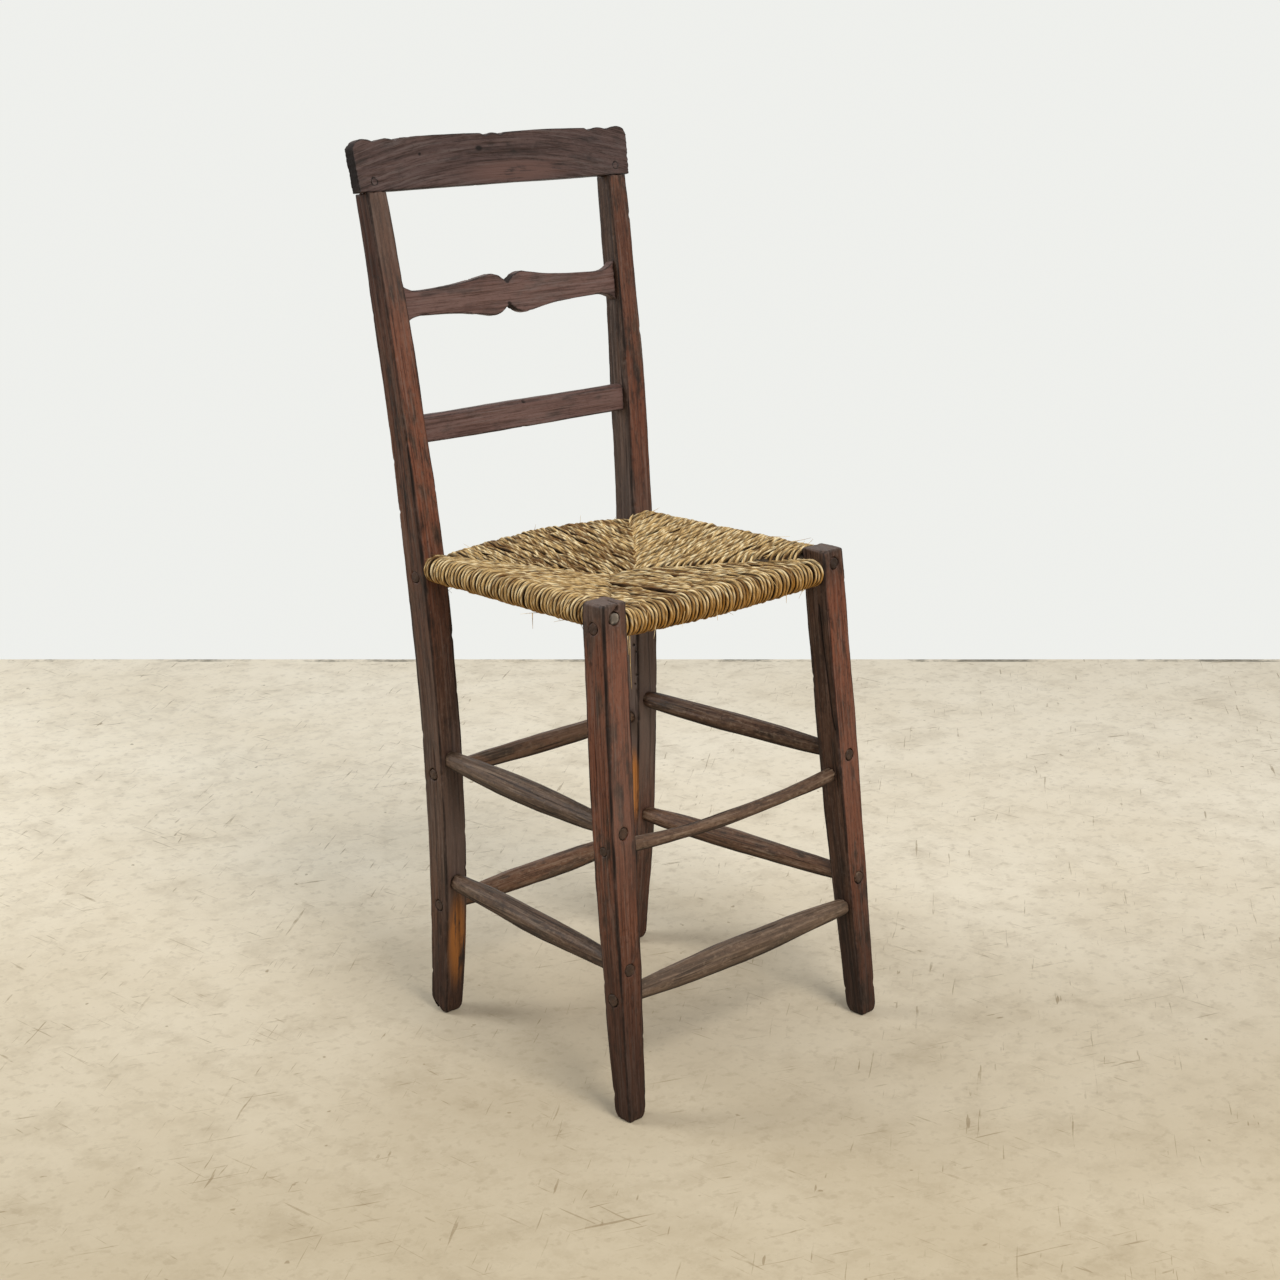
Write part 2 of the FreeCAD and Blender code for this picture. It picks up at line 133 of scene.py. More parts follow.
def vertex_vectors(mesh, field):
    """Places ("co") or normals ("normal") of a mesh's points."""
    flat = np.empty(len(mesh.vertices) * 3)
    mesh.vertices.foreach_get(field, flat)
    return flat.reshape(-1, 3)


def solid_points(node):
    return vertex_vectors(frame["nodes"][node].data, "co")


def edge_pairs(mesh):
    flat = np.empty(len(mesh.edges) * 2, dtype=np.int64)
    mesh.edges.foreach_get("vertices", flat)
    return flat.reshape(-1, 2)


def set_points(mesh, points):
    mesh.vertices.foreach_set("co", points.astype(np.float32).ravel())
    mesh.update()


def set_values(mesh, name, values):
    kind = "FLOAT_VECTOR" if values.ndim == 2 else "FLOAT"
    field = "vector" if values.ndim == 2 else "value"
    attribute = mesh.attributes.new(name, kind, "POINT")
    attribute.data.foreach_set(field, values.astype(np.float32).ravel())


def neighbour_mean(values, pairs):
    """Average of each point's neighbours, for one or more columns."""
    columns = values.reshape(len(values), -1)
    counts = np.bincount(pairs.ravel(), minlength=len(values))
    result = np.empty_like(columns)
    for k in range(columns.shape[1]):
        forward = np.bincount(pairs[:, 0], columns[pairs[:, 1], k], len(values))
        back = np.bincount(pairs[:, 1], columns[pairs[:, 0], k], len(values))
        result[:, k] = (forward + back) / np.maximum(counts, 1)
    return result.reshape(values.shape)


def relaxed(values, pairs, rounds):
    for _ in range(rounds):
        values = values + 0.5 * (neighbour_mean(values, pairs) - values)
    return values


# Wood pieces: even copies of the solids, worn along their edges

# Height of the worn rounding at the feet, and the share by which it draws them in at the floor
FOOT_ROUND = 0.014
FOOT_DRAWN_IN = 0.24
# How much darker the legs grow towards the floor
FOOT_DARKENING = 0.52

# Stretches along a piece in which its width is measured
GRAIN_BINS = 40

# Lengths of the features in worn wood, twice across its grain and along it
WAVE_LENGTHS = (0.05, 0.05, 0.16)
FIBRE_LENGTHS = (0.006, 0.006, 0.11)
FINE_FIBRE_LENGTHS = (0.0035, 0.0035, 0.05)
EDGE_WEAR_LENGTHS = (0.02, 0.02, 0.03)
CORNER_LINE_LENGTHS = (0.01, 0.01, 0.05)

# Random cracks along the grain
SPLIT_LENGTHS = (0.02, 0.12)
SPLIT_WIDTHS = (0.0009, 0.0020)
SPLIT_BEND = 0.0012
SPLIT_DEPTH = 0.001


def even_copy(node, voxel):
    """New piece with the shape of a CAD node in small even faces."""
    mesh = frame["nodes"][node].data.copy()
    mesh.materials.clear()
    welded = bmesh.new()
    welded.from_mesh(mesh)
    bmesh.ops.remove_doubles(welded, verts=welded.verts, dist=1e-5)
    welded.to_mesh(mesh)
    welded.free()
    piece = bpy.data.objects.new("worn_" + node, mesh)
    scene.collection.objects.link(piece)
    remesh = piece.modifiers.new("even", "REMESH")
    remesh.mode = "VOXEL"
    remesh.voxel_size = voxel
    shown = piece.evaluated_get(bpy.context.evaluated_depsgraph_get())
    dense = bpy.data.meshes.new_from_object(shown)
    piece.modifiers.clear()
    piece.data = dense
    dense.name = "worn_" + node
    dense.shade_smooth()
    return piece


def grain_axes(points):
    """Directions of a piece's grain: across, across, along."""
    spread = np.linalg.eigh(np.cov((points - points.mean(axis=0)).T))[1]
    along = spread[:, 2]
    along = along * np.sign(along[np.argmax(np.abs(along))])
    upright = abs(along[2]) > 0.8
    helper = np.array([0.0, 1.0, 0.0]) if upright else np.array([0.0, 0.0, 1.0])
    across = unit(np.cross(helper, along))
    return across, np.cross(along, across), along


def grain_places(points):
    """Places of points in a piece's own grain: across, across, along. The second result gives the
    two places across as shares of the half widths there."""
    across, other, along = grain_axes(points)
    length = points @ along
    bins = np.linspace(length.min(), length.max(), GRAIN_BINS)
    index = np.clip(np.digitize(length, bins) - 1, 0, len(bins) - 2)
    result = np.empty_like(points)
    shares = np.empty((len(points), 2))
    for k, axis in enumerate((across, other)):
        place = points @ axis
        lows = np.full(len(bins) - 1, np.inf)
        highs = np.full(len(bins) - 1, -np.inf)
        np.minimum.at(lows, index, place)
        np.maximum.at(highs, index, place)
        known = np.isfinite(lows)
        centres = (bins[:-1] + bins[1:])[known] / 2
        lows = lows[known]
        highs = highs[known]
        result[:, k] = place - np.interp(length, centres, (lows + highs) / 2)
        shares[:, k] = result[:, k] / np.interp(length, centres, (highs - lows) / 2)
    result[:, 2] = length - length.mean()
    return result, shares


def bends(points, pairs, facing, voxel):
    """How sharp the edges and how deep the hollows are at each point, from 0 to 1."""
    bend = -np.einsum("ij,ij->i", neighbour_mean(points, pairs) - points, facing) / voxel
    soft_bend = relaxed(bend, pairs, 3)
    return smooth_step(0.012, 0.06, soft_bend), smooth_step(0.012, 0.075, -soft_bend)


def end_faces(grain, ends):
    """Share of end grain at each point, where it shows on a length at both tips."""
    if not ends:
        return np.zeros(len(grain))
    half_length = np.abs(grain[:, 2]).max()
    return smooth_step(half_length - ends, half_length - 0.4 * ends, np.abs(grain[:, 2]))


def relief(grain, edge, seed, wave, fibre):
    """Height of the waves and fibres of old wood, lower along its worn edges."""
    height = wave * ripple(grain, WAVE_LENGTHS, seed)
    height += fibre * ripple(grain, FIBRE_LENGTHS, seed + 1)
    height += 0.7 * fibre * ripple(grain, FINE_FIBRE_LENGTHS, seed + 2)
    height -= wave * 0.6 * edge * (0.5 + 0.6 * ripple(grain, EDGE_WEAR_LENGTHS, seed + 3))
    return height


def splits(grain, shares, seed, count):
    """Random cracks along the grain: their depth at each point, and how dark they are."""
    draw = np.random.default_rng(seed)
    half = np.abs(grain[:, :2]).max(axis=0)
    reach = np.abs(grain[:, 2]).max()
    deep = np.zeros(len(grain))
    dark = np.zeros(len(grain))
    for _ in range(count):
        place = draw.uniform(-0.85, 0.85, 2)
        place[draw.integers(2)] = draw.choice((-1, 1))
        middle = draw.uniform(-0.9, 0.9) * reach
        length = draw.uniform(*SPLIT_LENGTHS)
        width = draw.uniform(*SPLIT_WIDTHS)
        bend = SPLIT_BEND * np.sin(grain[:, 2] * draw.uniform(15, 40) + draw.uniform(*PHASES))
        offset = (shares - place) * half
        far = np.hypot(offset[:, 0] + bend, offset[:, 1] + bend) / width
        mark = 1 - smooth_step(0.3, 1.2, far)
        mark *= 1 - smooth_step(0.5, 1.0, np.abs(grain[:, 2] - middle) / length)
        deep = np.maximum(deep, SPLIT_DEPTH * draw.uniform(0.4, 1.0) * mark)
        dark = np.maximum(dark, draw.uniform(0.5, 1.0) * mark)
    return deep, dark


def chips(points, edge, seed, count, size, depth):
    """Depth of small dents at random places along worn edges."""
    draw = np.random.default_rng(seed)
    places = np.flatnonzero(edge > 0.5)
    dents = np.zeros(len(points))
    if not len(places):
        return dents
    for place in draw.choice(places, count):
        reach = size * draw.uniform(0.5, 1.4)
        deep = depth * draw.uniform(0.3, 1.0)
        far = off_point(points, points[place])
        dents = np.maximum(dents, deep * (1 - smooth_step(0.0, reach, far)))
    return dents


def rounded_foot(points):
    """The points of a leg with its foot drawn in towards the floor."""
    low = points[:, 2] < FOOT_ROUND
    middle = points[low, :2].mean(axis=0)
    near_floor = (1 - np.clip(points[:, 2] / FOOT_ROUND, 0, 1)) ** 2
    result = points.copy()
    result[:, :2] -= (FOOT_DRAWN_IN * near_floor)[:, None] * (points[:, :2] - middle)
    return result


def patches(spots, points, facing):
    """Soft patches on the sides of a piece that face certain ways."""
    share = np.zeros(len(points))
    for middle, reach, way in spots:
        far = np.linalg.norm((points - np.array(middle)) / np.array(reach), axis=1)
        turned = smooth_step(0.3, 0.75, facing @ unit(np.array(way, dtype=float)))
        share = np.maximum(share, (1 - smooth_step(0.35, 1.0, far)) * turned)
    return share


def off_point(points, place):
    return np.linalg.norm(points - np.array(place), axis=1)


def off_line(points, line):
    """Distance of each point from a run of straight stretches."""
    far = np.full(len(points), np.inf)
    for a, b in zip(np.array(line[:-1]), np.array(line[1:])):
        along = b - a
        share = np.clip((points - a) @ along / (along @ along), 0, 1)
        far = np.minimum(far, np.linalg.norm(points - a - share[:, None] * along, axis=1))
    return far


# Marks that a piece carries: bare patches, and dark patches of stain and of painted shade, each a
# middle, a reach along each axis and the way its face looks; cracks, each a line, a half width and a
# depth; pits and worn-off corners, each a middle, a reach and a depth
Marks = namedtuple("Marks", "bare stains cracks pits worn_off", defaults=((),) * 5)


def cut_into(points, marks):
    """Depth of a piece's own cuts at each point, and how dark they are."""
    depth = np.zeros(len(points))
    dark = np.zeros(len(points))
    cuts = [(0.2, off_line(points, line) / half_width, deep) for line, half_width, deep in marks.cracks]
    cuts += [(0.3, off_point(points, middle) / reach, deep) for middle, reach, deep in marks.pits]
    for core, far, deep in cuts:
        share = 1 - smooth_step(core, 1.0, far)
        depth = np.maximum(depth, deep * share)
        dark = np.maximum(dark, share)
    for middle, reach, deep in marks.worn_off:
        share = 1 - smooth_step(0.0, 1.0, off_point(points, middle) / reach)
        depth = np.maximum(depth, deep * share)
    return depth, dark


def tones_at(points, facing, tones):
    """How red and how pale wood is at each point; the paleness is partly painted light and shade."""
    front = smooth_step(0.15, 0.7, -facing[:, 1])
    heights, front_red, other_red, front_pale, other_pale = np.array(tones).T
    redness = np.interp(points[:, 2], heights, other_red) * (1 - front)
    redness += np.interp(points[:, 2], heights, front_red) * front
    paleness = np.interp(points[:, 2], heights, other_pale) * (1 - front)
    paleness += np.interp(points[:, 2], heights, front_pale) * front
    return redness, paleness


def corner_lines(grain, cornered, seed, arris):
    """Broken dark lines along the long edges."""
    corner = smooth_step(0.78, 0.92, cornered)
    corner *= 0.7 + 0.5 * ripple(grain, CORNER_LINE_LENGTHS, seed)
    return np.clip(arris * corner, 0, 1)


def worn_piece(node, material, slot, seed, voxel=0.0014, wave=0.00045, fibre=0.00020, dents=30,
               dent_size=0.006, dent_depth=0.0014, cracks=0, arch=0.0, tones=((0.0, 0.4, 0.4, 0.0, 0.0),),
               arris=0.0, foot=0.0, under=0.0, ends=0.0, sunk=0.0, tip_tone=0.8):
    """Worn copy of a wood node. Tones give how red its front and its other sides are at some heights,
    and how pale, or dark if below zero, partly painted light and shade; arris how dark its long edges
    are, foot the height over which it darkens towards its foot, under how much painted shade darkens
    its underside, ends the length at its tips that shows end grain, sunk how far those tips are worn
    back and tip_tone how pale they are."""
    marks = MARKS.get(node, Marks())
    piece = even_copy(node, voxel)
    mesh = piece.data
    pairs = edge_pairs(mesh)
    points = relaxed(vertex_vectors(mesh, "co"), pairs, 1)
    set_points(mesh, points)
    facing = vertex_vectors(mesh, "normal")
    grain, shares = grain_places(points)
    cornered = np.abs(shares).min(axis=1)
    tip = end_faces(grain, ends)
    edge, hollow = bends(points, pairs, facing, voxel)
    edge *= 1 - tip
    height = relief(grain, edge, seed, wave, fibre)
    height -= chips(points, edge, seed + 4, dents, dent_size, dent_depth)
    height -= sunk * tip
    cut, cut_dark = cut_into(points, marks)
    split, split_dark = splits(grain, shares, seed + 6, cracks)
    points = points + facing * (height - np.maximum(cut, split))[:, None]
    solid = solid_points(node)
    points = np.clip(points, solid.min(axis=0), solid.max(axis=0))
    # Cuts and cracks, and painted shade on the underside
    dark_masks = [cut_dark, split_dark, under * smooth_step(0.15, 0.75, -facing[:, 2])]
    if foot:
        points = rounded_foot(points)
        dark_masks.append(FOOT_DARKENING * (1 - smooth_step(0.1 * foot, foot, points[:, 2])))
    set_points(mesh, points)
    if arris:
        dark_masks.append(corner_lines(grain, cornered, seed + 7, arris))
        edge *= 0.15 + 0.85 * smooth_step(0.5, 0.75, cornered)
    dark_masks.append(patches(marks.stains, points, facing))
    red, pale = tones_at(points, facing, tones)
    grain[:, 1] += arch * grain[:, 2] ** 2
    grain += np.random.default_rng(seed + 5).uniform(-3, 3, 3)
    values = {"grain": grain, "edge": edge, "hollow": hollow, "bare": patches(marks.bare, points, facing),
              "dark": np.max(dark_masks, axis=0), "red": red, "pale": pale, "tip": tip,
              "tip_tone": np.full(len(points), tip_tone)}
    for name, value in values.items():
        set_values(mesh, name, value)
    mesh.materials.append(material)
    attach(piece, "root")
    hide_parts(node)


# Material helpers

# What is left of a colour's red, green and blue where it is darkened
DARKENED = (0.40, 0.33, 0.28)


class Shader:
    """Node tree of one material, with short calls for the nodes used here."""

    def __init__(self, name):
        self.material = bpy.data.materials.new(name)
        self.material.use_nodes = True
        self.tree = self.material.node_tree
        self.surface = self.tree.nodes["Principled BSDF"]

    def feed(self, socket, value):
        if isinstance(value, bpy.types.NodeSocket):
            self.tree.links.new(value, socket)
        elif isinstance(value, tuple) and len(value) == 3 and socket.type == "RGBA":
            socket.default_value = (*value, 1.0)
        else:
            socket.default_value = value

    def node(self, kind, output, inputs, **options):
        """One output of a new node, with its inputs and options set."""
        node = self.tree.nodes.new("ShaderNode" + kind)
        for name, value in options.items():
            setattr(node, name, value)
        for key, value in inputs.items():
            self.feed(node.inputs[key], value)
        return node.outputs[output]

    def read(self, name, output="Fac"):
        return self.node("Attribute", output, {}, attribute_name=name)

    def place(self):
        return self.node("TexCoord", "Object", {})

    def vector_math(self, operation, a, b=(0, 0, 0), output="Vector"):
        return self.node("VectorMath", output, {0: a, 1: b}, operation=operation)

    def turned(self, vector, angle):
        return self.node("VectorRotate", "Vector", {"Vector": vector, "Angle": angle}, rotation_type="Z_AXIS")

    def noise(self, vector, scale, detail, roughness, distortion=0.0):
        """Noise with one scale, or with three along the axes."""
        scales = scale if isinstance(scale, tuple) else (scale, scale, scale)
        stretched = self.vector_math("MULTIPLY", vector, scales)
        return self.node("TexNoise", 0, {"Vector": stretched, "Scale": 1.0, "Detail": detail,
                                         "Roughness": roughness, "Distortion": distortion})

    def step(self, value, low, high):
        """Smooth rise from 0 to 1 between two values, or a fall if low is above high."""
        ends = {"To Min": 0.0, "To Max": 1.0} if low < high else {"To Min": 1.0, "To Max": 0.0}
        limits = {"From Min": min(low, high), "From Max": max(low, high)}
        return self.node("MapRange", "Result", {"Value": value, **limits, **ends},
                         interpolation_type="SMOOTHSTEP")

    def math(self, operation, a, b):
        return self.node("Math", 0, {0: a, 1: b}, operation=operation)

    def times(self, a, b):
        return self.math("MULTIPLY", a, b)

    def plus(self, a, b):
        return self.math("ADD", a, b)

    def mix(self, share, a, b, blend="MIX"):
        return self.node("Mix", 2, {0: share, 6: a, 7: b}, data_type="RGBA", blend_type=blend)

    def tint(self, colour, mask, strength, other):
        """A colour with part of another one laid over it where a mask says."""
        return self.mix(self.times(mask, strength), colour, other)

    def darker(self, colour, mask, strength):
        """A colour that loses light where a mask says, a little more of its blue than of its red."""
        return self.mix(self.times(mask, strength), colour, DARKENED, "MULTIPLY")

    def bump(self, height, distance):
        return self.node("Bump", "Normal", {"Strength": 1.0, "Distance": distance, "Height": height})

    def set(self, **values):
        for name, value in values.items():
            self.feed(self.surface.inputs[name.replace("_", " ")], value)


def shaded(colour, share):
    return tuple(share * part for part in colour)


# Noises of old wood: scales across, across and along the grain, detail, roughness and distortion
WOOD_NOISES = {
    "broad": ((60, 60, 5), 5, 0.6),
    "streak": ((260, 260, 8), 4, 0.6),
    "hair": ((700, 700, 18), 3, 0.55),
    "patch": ((26, 26, 7), 4, 0.6),
    "blotch": ((80, 80, 26), 5, 0.62),
    "mottle": ((240, 240, 120), 4, 0.65),
    "crack": ((200, 200, 3.5), 2, 0.5, 0.3)}
WOOD_RELIEF = 0.0007


def stained(s, noise, dark, middle, light, red, streaks, blotches):
    """Colour of stained wood: soft bands, red and dark blotches, streaks, mottling and fine lines."""
    colour = s.mix(s.step(noise["broad"], 0.38, 0.62), dark, middle)
    reddened = s.times(s.read("red"), s.step(s.plus(noise["patch"], noise["blotch"]), 0.74, 1.02))
    colour = s.mix(reddened, colour, red)
    colour = s.darker(colour, s.step(noise["blotch"], 0.48, 0.33), 0.8 * blotches)
    colour = s.tint(colour, s.step(noise["streak"], 0.52, 0.66), 0.5 * streaks, light)
    colour = s.darker(colour, s.step(noise["streak"], 0.49, 0.36), 0.8 * streaks)
    colour = s.tint(colour, s.step(noise["mottle"], 0.54, 0.68), 0.4 * blotches, light)
    colour = s.darker(colour, s.step(noise["mottle"], 0.46, 0.34), 0.8 * blotches)
    colour = s.darker(colour, s.step(noise["hair"], 0.48, 0.36), 0.8 * streaks)
    # Paleness lightens and negative paleness darkens: partly painted light and shade
    pale = s.read("pale")
    colour = s.mix(s.math("MAXIMUM", pale, 0.0), colour, light)
    return s.darker(colour, s.math("MAXIMUM", s.times(pale, -1.0), 0.0), 1.0)


def edged(s, noise, colour, dark, light, worn, edge_dirt_and_shade):
    """The colour with wear along the edges, and dark lines along them that are partly dirt and partly painted
    shade.
    """
    edge = s.read("edge")
    dirt_and_shade_on_edge = s.times(edge, s.step(noise["streak"], 0.66, 0.48))
    in_wear = s.times(edge, s.step(noise["mottle"], 0.48, 0.58))
    # Dark lines along the edges: dirt and painted shade
    colour = s.tint(colour, dirt_and_shade_on_edge, edge_dirt_and_shade, shaded(dark, 0.25))
    return s.tint(colour, in_wear, worn, light)


def ended(s, noise, colour, dark, end):
    """The colour with end grain on the tips of a piece."""
    end_grain = s.mix(s.read("tip_tone"), shaded(dark, 0.4), end)
    end_grain = s.tint(end_grain, s.step(noise["blotch"], 0.60, 0.40), 0.6, shaded(dark, 0.6))
    return s.mix(s.read("tip"), colour, end_grain)


def wood(name, dark, middle, light, red, bare, end, cracked=0.4, worn=0.2, edge_dirt_and_shade=0.7, streaks=0.7,
         blotches=0.6):
    """Old stained wood. The shares say how strong its cracks, the wear of its edges, the dirt and painted
    shade along them, its streaks and its blotches are."""
    s = Shader(name)
    grain = s.read("grain", "Vector")
    noise = {key: s.noise(grain, *values) for key, values in WOOD_NOISES.items()}
    colour = stained(s, noise, dark, middle, light, red, streaks, blotches)
    colour = edged(s, noise, colour, dark, light, worn, edge_dirt_and_shade)
    stripped = s.step(s.plus(noise["streak"], noise["blotch"]), 0.74, 0.98)
    colour = s.mix(s.times(s.read("bare"), stripped), colour, bare)
    split = s.step(noise["crack"], 0.37, 0.33)
    colour = s.tint(colour, split, cracked, shaded(dark, 0.2))
    colour = ended(s, noise, colour, dark, end)
    # Dark marks: dirt, cuts and cracks, and painted shade on undersides and in some patches
    dark_marks = s.read("dark")
    colour = s.tint(colour, dark_marks, 0.95, shaded(dark, 0.2))
    # Darker in the hollows
    hollow_dark = s.times(s.read("hollow"), s.step(noise["blotch"], 0.38, 0.56))
    colour = s.tint(colour, hollow_dark, 0.85, shaded(dark, 0.3))
    rough = s.plus(s.times(noise["mottle"], 0.4), s.plus(s.times(dark_marks, 0.35), 0.32))
    height = s.plus(s.times(noise["streak"], streaks), s.times(noise["hair"], 0.6 * streaks))
    height = s.plus(height, s.times(noise["mottle"], 0.8 * blotches))
    height = s.math("SUBTRACT", height, s.times(split, 1.5 * cracked))
    s.set(Base_Color=colour, Roughness=rough, Normal=s.bump(height, WOOD_RELIEF), Specular_IOR_Level=0.22)
    return s.material


LEG_WOOD = wood(
    "leg_wood", dark=(0.034, 0.018, 0.011), middle=(0.087, 0.046, 0.028), light=(0.160, 0.112, 0.092),
    red=(0.172, 0.058, 0.029), bare=(0.470, 0.175, 0.040), end=(0.086, 0.045, 0.029),
    streaks=0.9, blotches=0.8)
CREST_WOOD = wood(
    "crest_wood", dark=(0.044, 0.030, 0.0275), middle=(0.077, 0.052, 0.0465), light=(0.122, 0.094, 0.0875),
    red=(0.098, 0.051, 0.043), bare=(0.105, 0.057, 0.047), end=(0.075, 0.052, 0.046),
    cracked=0.15, edge_dirt_and_shade=0.9, streaks=1.0, blotches=0.55)
RAIL_WOOD = wood(
    "rail_wood", dark=(0.086, 0.053, 0.046), middle=(0.132, 0.087, 0.076), light=(0.182, 0.134, 0.122),
    red=(0.150, 0.078, 0.064), bare=(0.240, 0.120, 0.080), end=(0.130, 0.085, 0.074),
    cracked=0.1, worn=0.25, edge_dirt_and_shade=0.9, streaks=0.75, blotches=0.4)
STICK_WOOD = wood(
    "stick_wood", dark=(0.034, 0.020, 0.012), middle=(0.098, 0.062, 0.041), light=(0.285, 0.204, 0.142),
    red=(0.145, 0.068, 0.036), bare=(0.300, 0.150, 0.060), end=(0.082, 0.045, 0.029),
    cracked=0.5, worn=0.45, edge_dirt_and_shade=0.4, streaks=0.9, blotches=1.0)
GREY_WOOD = wood(
    "grey_wood", dark=(0.040, 0.024, 0.016), middle=(0.102, 0.066, 0.045), light=(0.160, 0.120, 0.090),
    red=(0.125, 0.068, 0.042), bare=(0.300, 0.150, 0.060), end=(0.300, 0.255, 0.205))

# Marks on single pieces, in metres in the chair's frame
MARKS = {
    "rear_post_right": Marks(
        bare=[((-0.1757, 0.140, 0.108), (0.020, 0.03, 0.085), (0, -1, 0))],
        worn_off=[((-0.1892, 0.1772, 0.0), 0.022, 0.008)]),
    "rear_post_left": Marks(
        bare=[((0.1612, 0.142, 0.245), (0.014, 0.018, 0.065), (-1, -0.3, 0))],
        pits=[((0.1636, 0.1457, 0.4508), 0.0028, 0.003), ((0.1634, 0.1415, 0.4415), 0.0022, 0.003),
              ((0.1631, 0.1392, 0.4083), 0.0028, 0.003), ((0.1623, 0.1414, 0.3948), 0.0022, 0.003)],
        cracks=[([(0.1625, 0.1385, 0.3866), (0.1640, 0.1347, 0.3426)], 0.0018, 0.002)]),
    "front_leg_right": Marks(
        cracks=[([(-0.1890, -0.1690, 0.6400), (-0.1900, -0.1780, 0.6400)], 0.0018, 0.004),
                ([(-0.1900, -0.1780, 0.6400), (-0.1900, -0.1845, 0.6395), (-0.1925, -0.1889, 0.6330)],
                 0.0032, 0.006),
                ([(-0.1925, -0.1889, 0.6330), (-0.2035, -0.1889, 0.6275), (-0.2050, -0.1893, 0.6190)],
                 0.0026, 0.003)]),
    "front_leg_left": Marks(
        cracks=[([(0.1798, -0.1810, 0.5675), (0.1823, -0.1912, 0.4948), (0.1852, -0.2029, 0.4216),
                  (0.1859, -0.2080, 0.4019)], 0.0020, 0.0016)],
        worn_off=[((0.1774, -0.1887, 0.640), 0.010, 0.003)]),
    "crest_board": Marks(
        bare=[((0.030, 0.2274, 1.1080), (0.120, 0.03, 0.020), (0, -1, 0))],
        stains=[((-0.0315, 0.2318, 1.1393), (0.0085, 0.02, 0.0050), (0, -1, 0)),
                ((-0.1301, 0.2313, 1.1362), (0.0035, 0.02, 0.0028), (0, -1, 0)),
                # Painted shade on the crest's left end face
                ((-0.2335, 0.2403, 1.1210), (0.012, 0.03, 0.06), (-1, 0, 0))]),
    "shaped_back_rail": Marks(
        stains=[((-0.0092, 0.2034, 0.9403), (0.0045, 0.02, 0.0035), (0, -1, 0)),
                # Painted shade on the notch faces at the rail's middle
                ((-0.0010, 0.2100, 0.9705), (0.016, 0.03, 0.012), (-1, 0, 0.9)),
                ((-0.0010, 0.2100, 0.9340), (0.016, 0.03, 0.012), (-1, 0, -0.9))]),
    "lower_back_rail": Marks(pits=[((-0.0036, 0.1835, 0.8125), 0.0045, 0.0025)]),
    "seat_rail_right": Marks(
        # Painted shadow down the left side of the worn tenon end, and a dark patch across its lower part
        stains=[((-0.2070, -0.1915, 0.6215), (0.0072, 0.01, 0.0120), (0, -1, 0)),
                ((-0.1975, -0.1915, 0.6140), (0.0100, 0.01, 0.0058), (0, -1, 0))])}

# Tones of each leg at heights from the floor up: how red its front and its other sides are,
# and how pale, or dark if below zero. The paleness is partly the wood's own tone and partly painted
# light and shade: darker low down, paler on the lit tops of the front legs, and on the right rear
# post a painted sheen high on its front with painted shade on its other sides
LEG_TONES = {
    "rear_post_right": (
        (0.00, 0.2, 0.3, -0.05, -0.20),
        (0.25, 0.1, 0.1, 0.60, 0.20),
        (0.42, 0.1, 0.1, 0.00, 0.20),
        (0.55, 0.4, 0.3, -0.10, 0.10),
        (0.70, 1.0, 0.4, 0.00, 0.00),
        (0.92, 0.9, 0.5, 0.08, -0.50),
        (1.00, 0.3, 0.5, 0.20, -0.90),
        (1.06, 0.1, 0.5, 0.26, -1.00)),
    "rear_post_left": (
        (0.00, 0.6, 0.6, 0.05, 0.05),
        (0.22, 0.4, 0.8, 0.15, 0.10),
        (0.34, 0.1, 0.2, 0.85, 0.85),
        (0.60, 0.2, 0.0, 0.30, 0.25),
        (0.75, 0.9, 0.0, -0.20, 0.20),
        (1.00, 0.5, 0.0, -0.05, -0.30)),
    "front_leg_right": (
        (0.00, 0.3, 0.4, -0.38, -0.35),
        (0.20, 0.6, 0.5, -0.15, -0.25),
        (0.36, 0.9, 0.9, 0.30, 0.00),
        (0.58, 1.0, 0.8, 0.15, -0.05),
        (0.62, 0.3, 0.2, 0.10, 0.05),
        (0.637, 0.1, 0.0, 0.20, 0.10),
        (0.639, 0.0, 0.0, 0.30, 0.60)),
    "front_leg_left": (
        (0.00, 0.4, 0.2, -0.15, -0.15),
        (0.20, 0.8, 0.1, 0.00, -0.15),
        (0.36, 1.0, 0.1, 0.15, -0.10),
        (0.58, 1.0, 0.1, -0.05, -0.10),
        (0.62, 0.3, 0.0, 0.00, -0.15),
        (0.637, 0.1, 0.0, 0.00, 0.00),
        (0.639, 0.0, 0.0, 0.20, 0.40))}
RAIL_TONES = ((0.0, 0.6, 0.4, 0.0, 0.0),)

# Seed, cracks, darkness of the long edges and height of the darkening at the foot of each leg
LEGS = {
    "rear_post_right": (10, 16, 0.8, 0.2),
    "rear_post_left": (20, 16, 0.8, 0.2),
    "front_leg_right": (30, 14, 0.9, 0.3),
    "front_leg_left": (40, 14, 0.6, 0.3)}

# Wear of the boards in the back, and of the tips that show in the legs
BOARD_WEAR = {"wave": 0.0003, "dents": 20, "dent_size": 0.004, "dent_depth": 0.001}
TENON_WEAR = {"ends": 0.003, "sunk": 0.0006}

# How red and how pale each stretcher is
STICK_TONES = {
    "front_upper": (0.5, 0.12), "front_lower": (0.2, 0.20),
    "rear_upper": (1.0, 0.18), "rear_lower": (0.9, 0.08),
    "right_upper": (0.2, 0.10), "right_lower": (0.3, 0.06),
    "left_upper": (0.4, 0.00), "left_lower": (0.8, 0.08)}

# Wood of each seat rail, and how pale its ends are
SEAT_RAILS = {
    "front": (LEG_WOOD, 0.8), "rear": (LEG_WOOD, 0.6), "right": (GREY_WOOD, 0.9), "left": (LEG_WOOD, 0.2)}

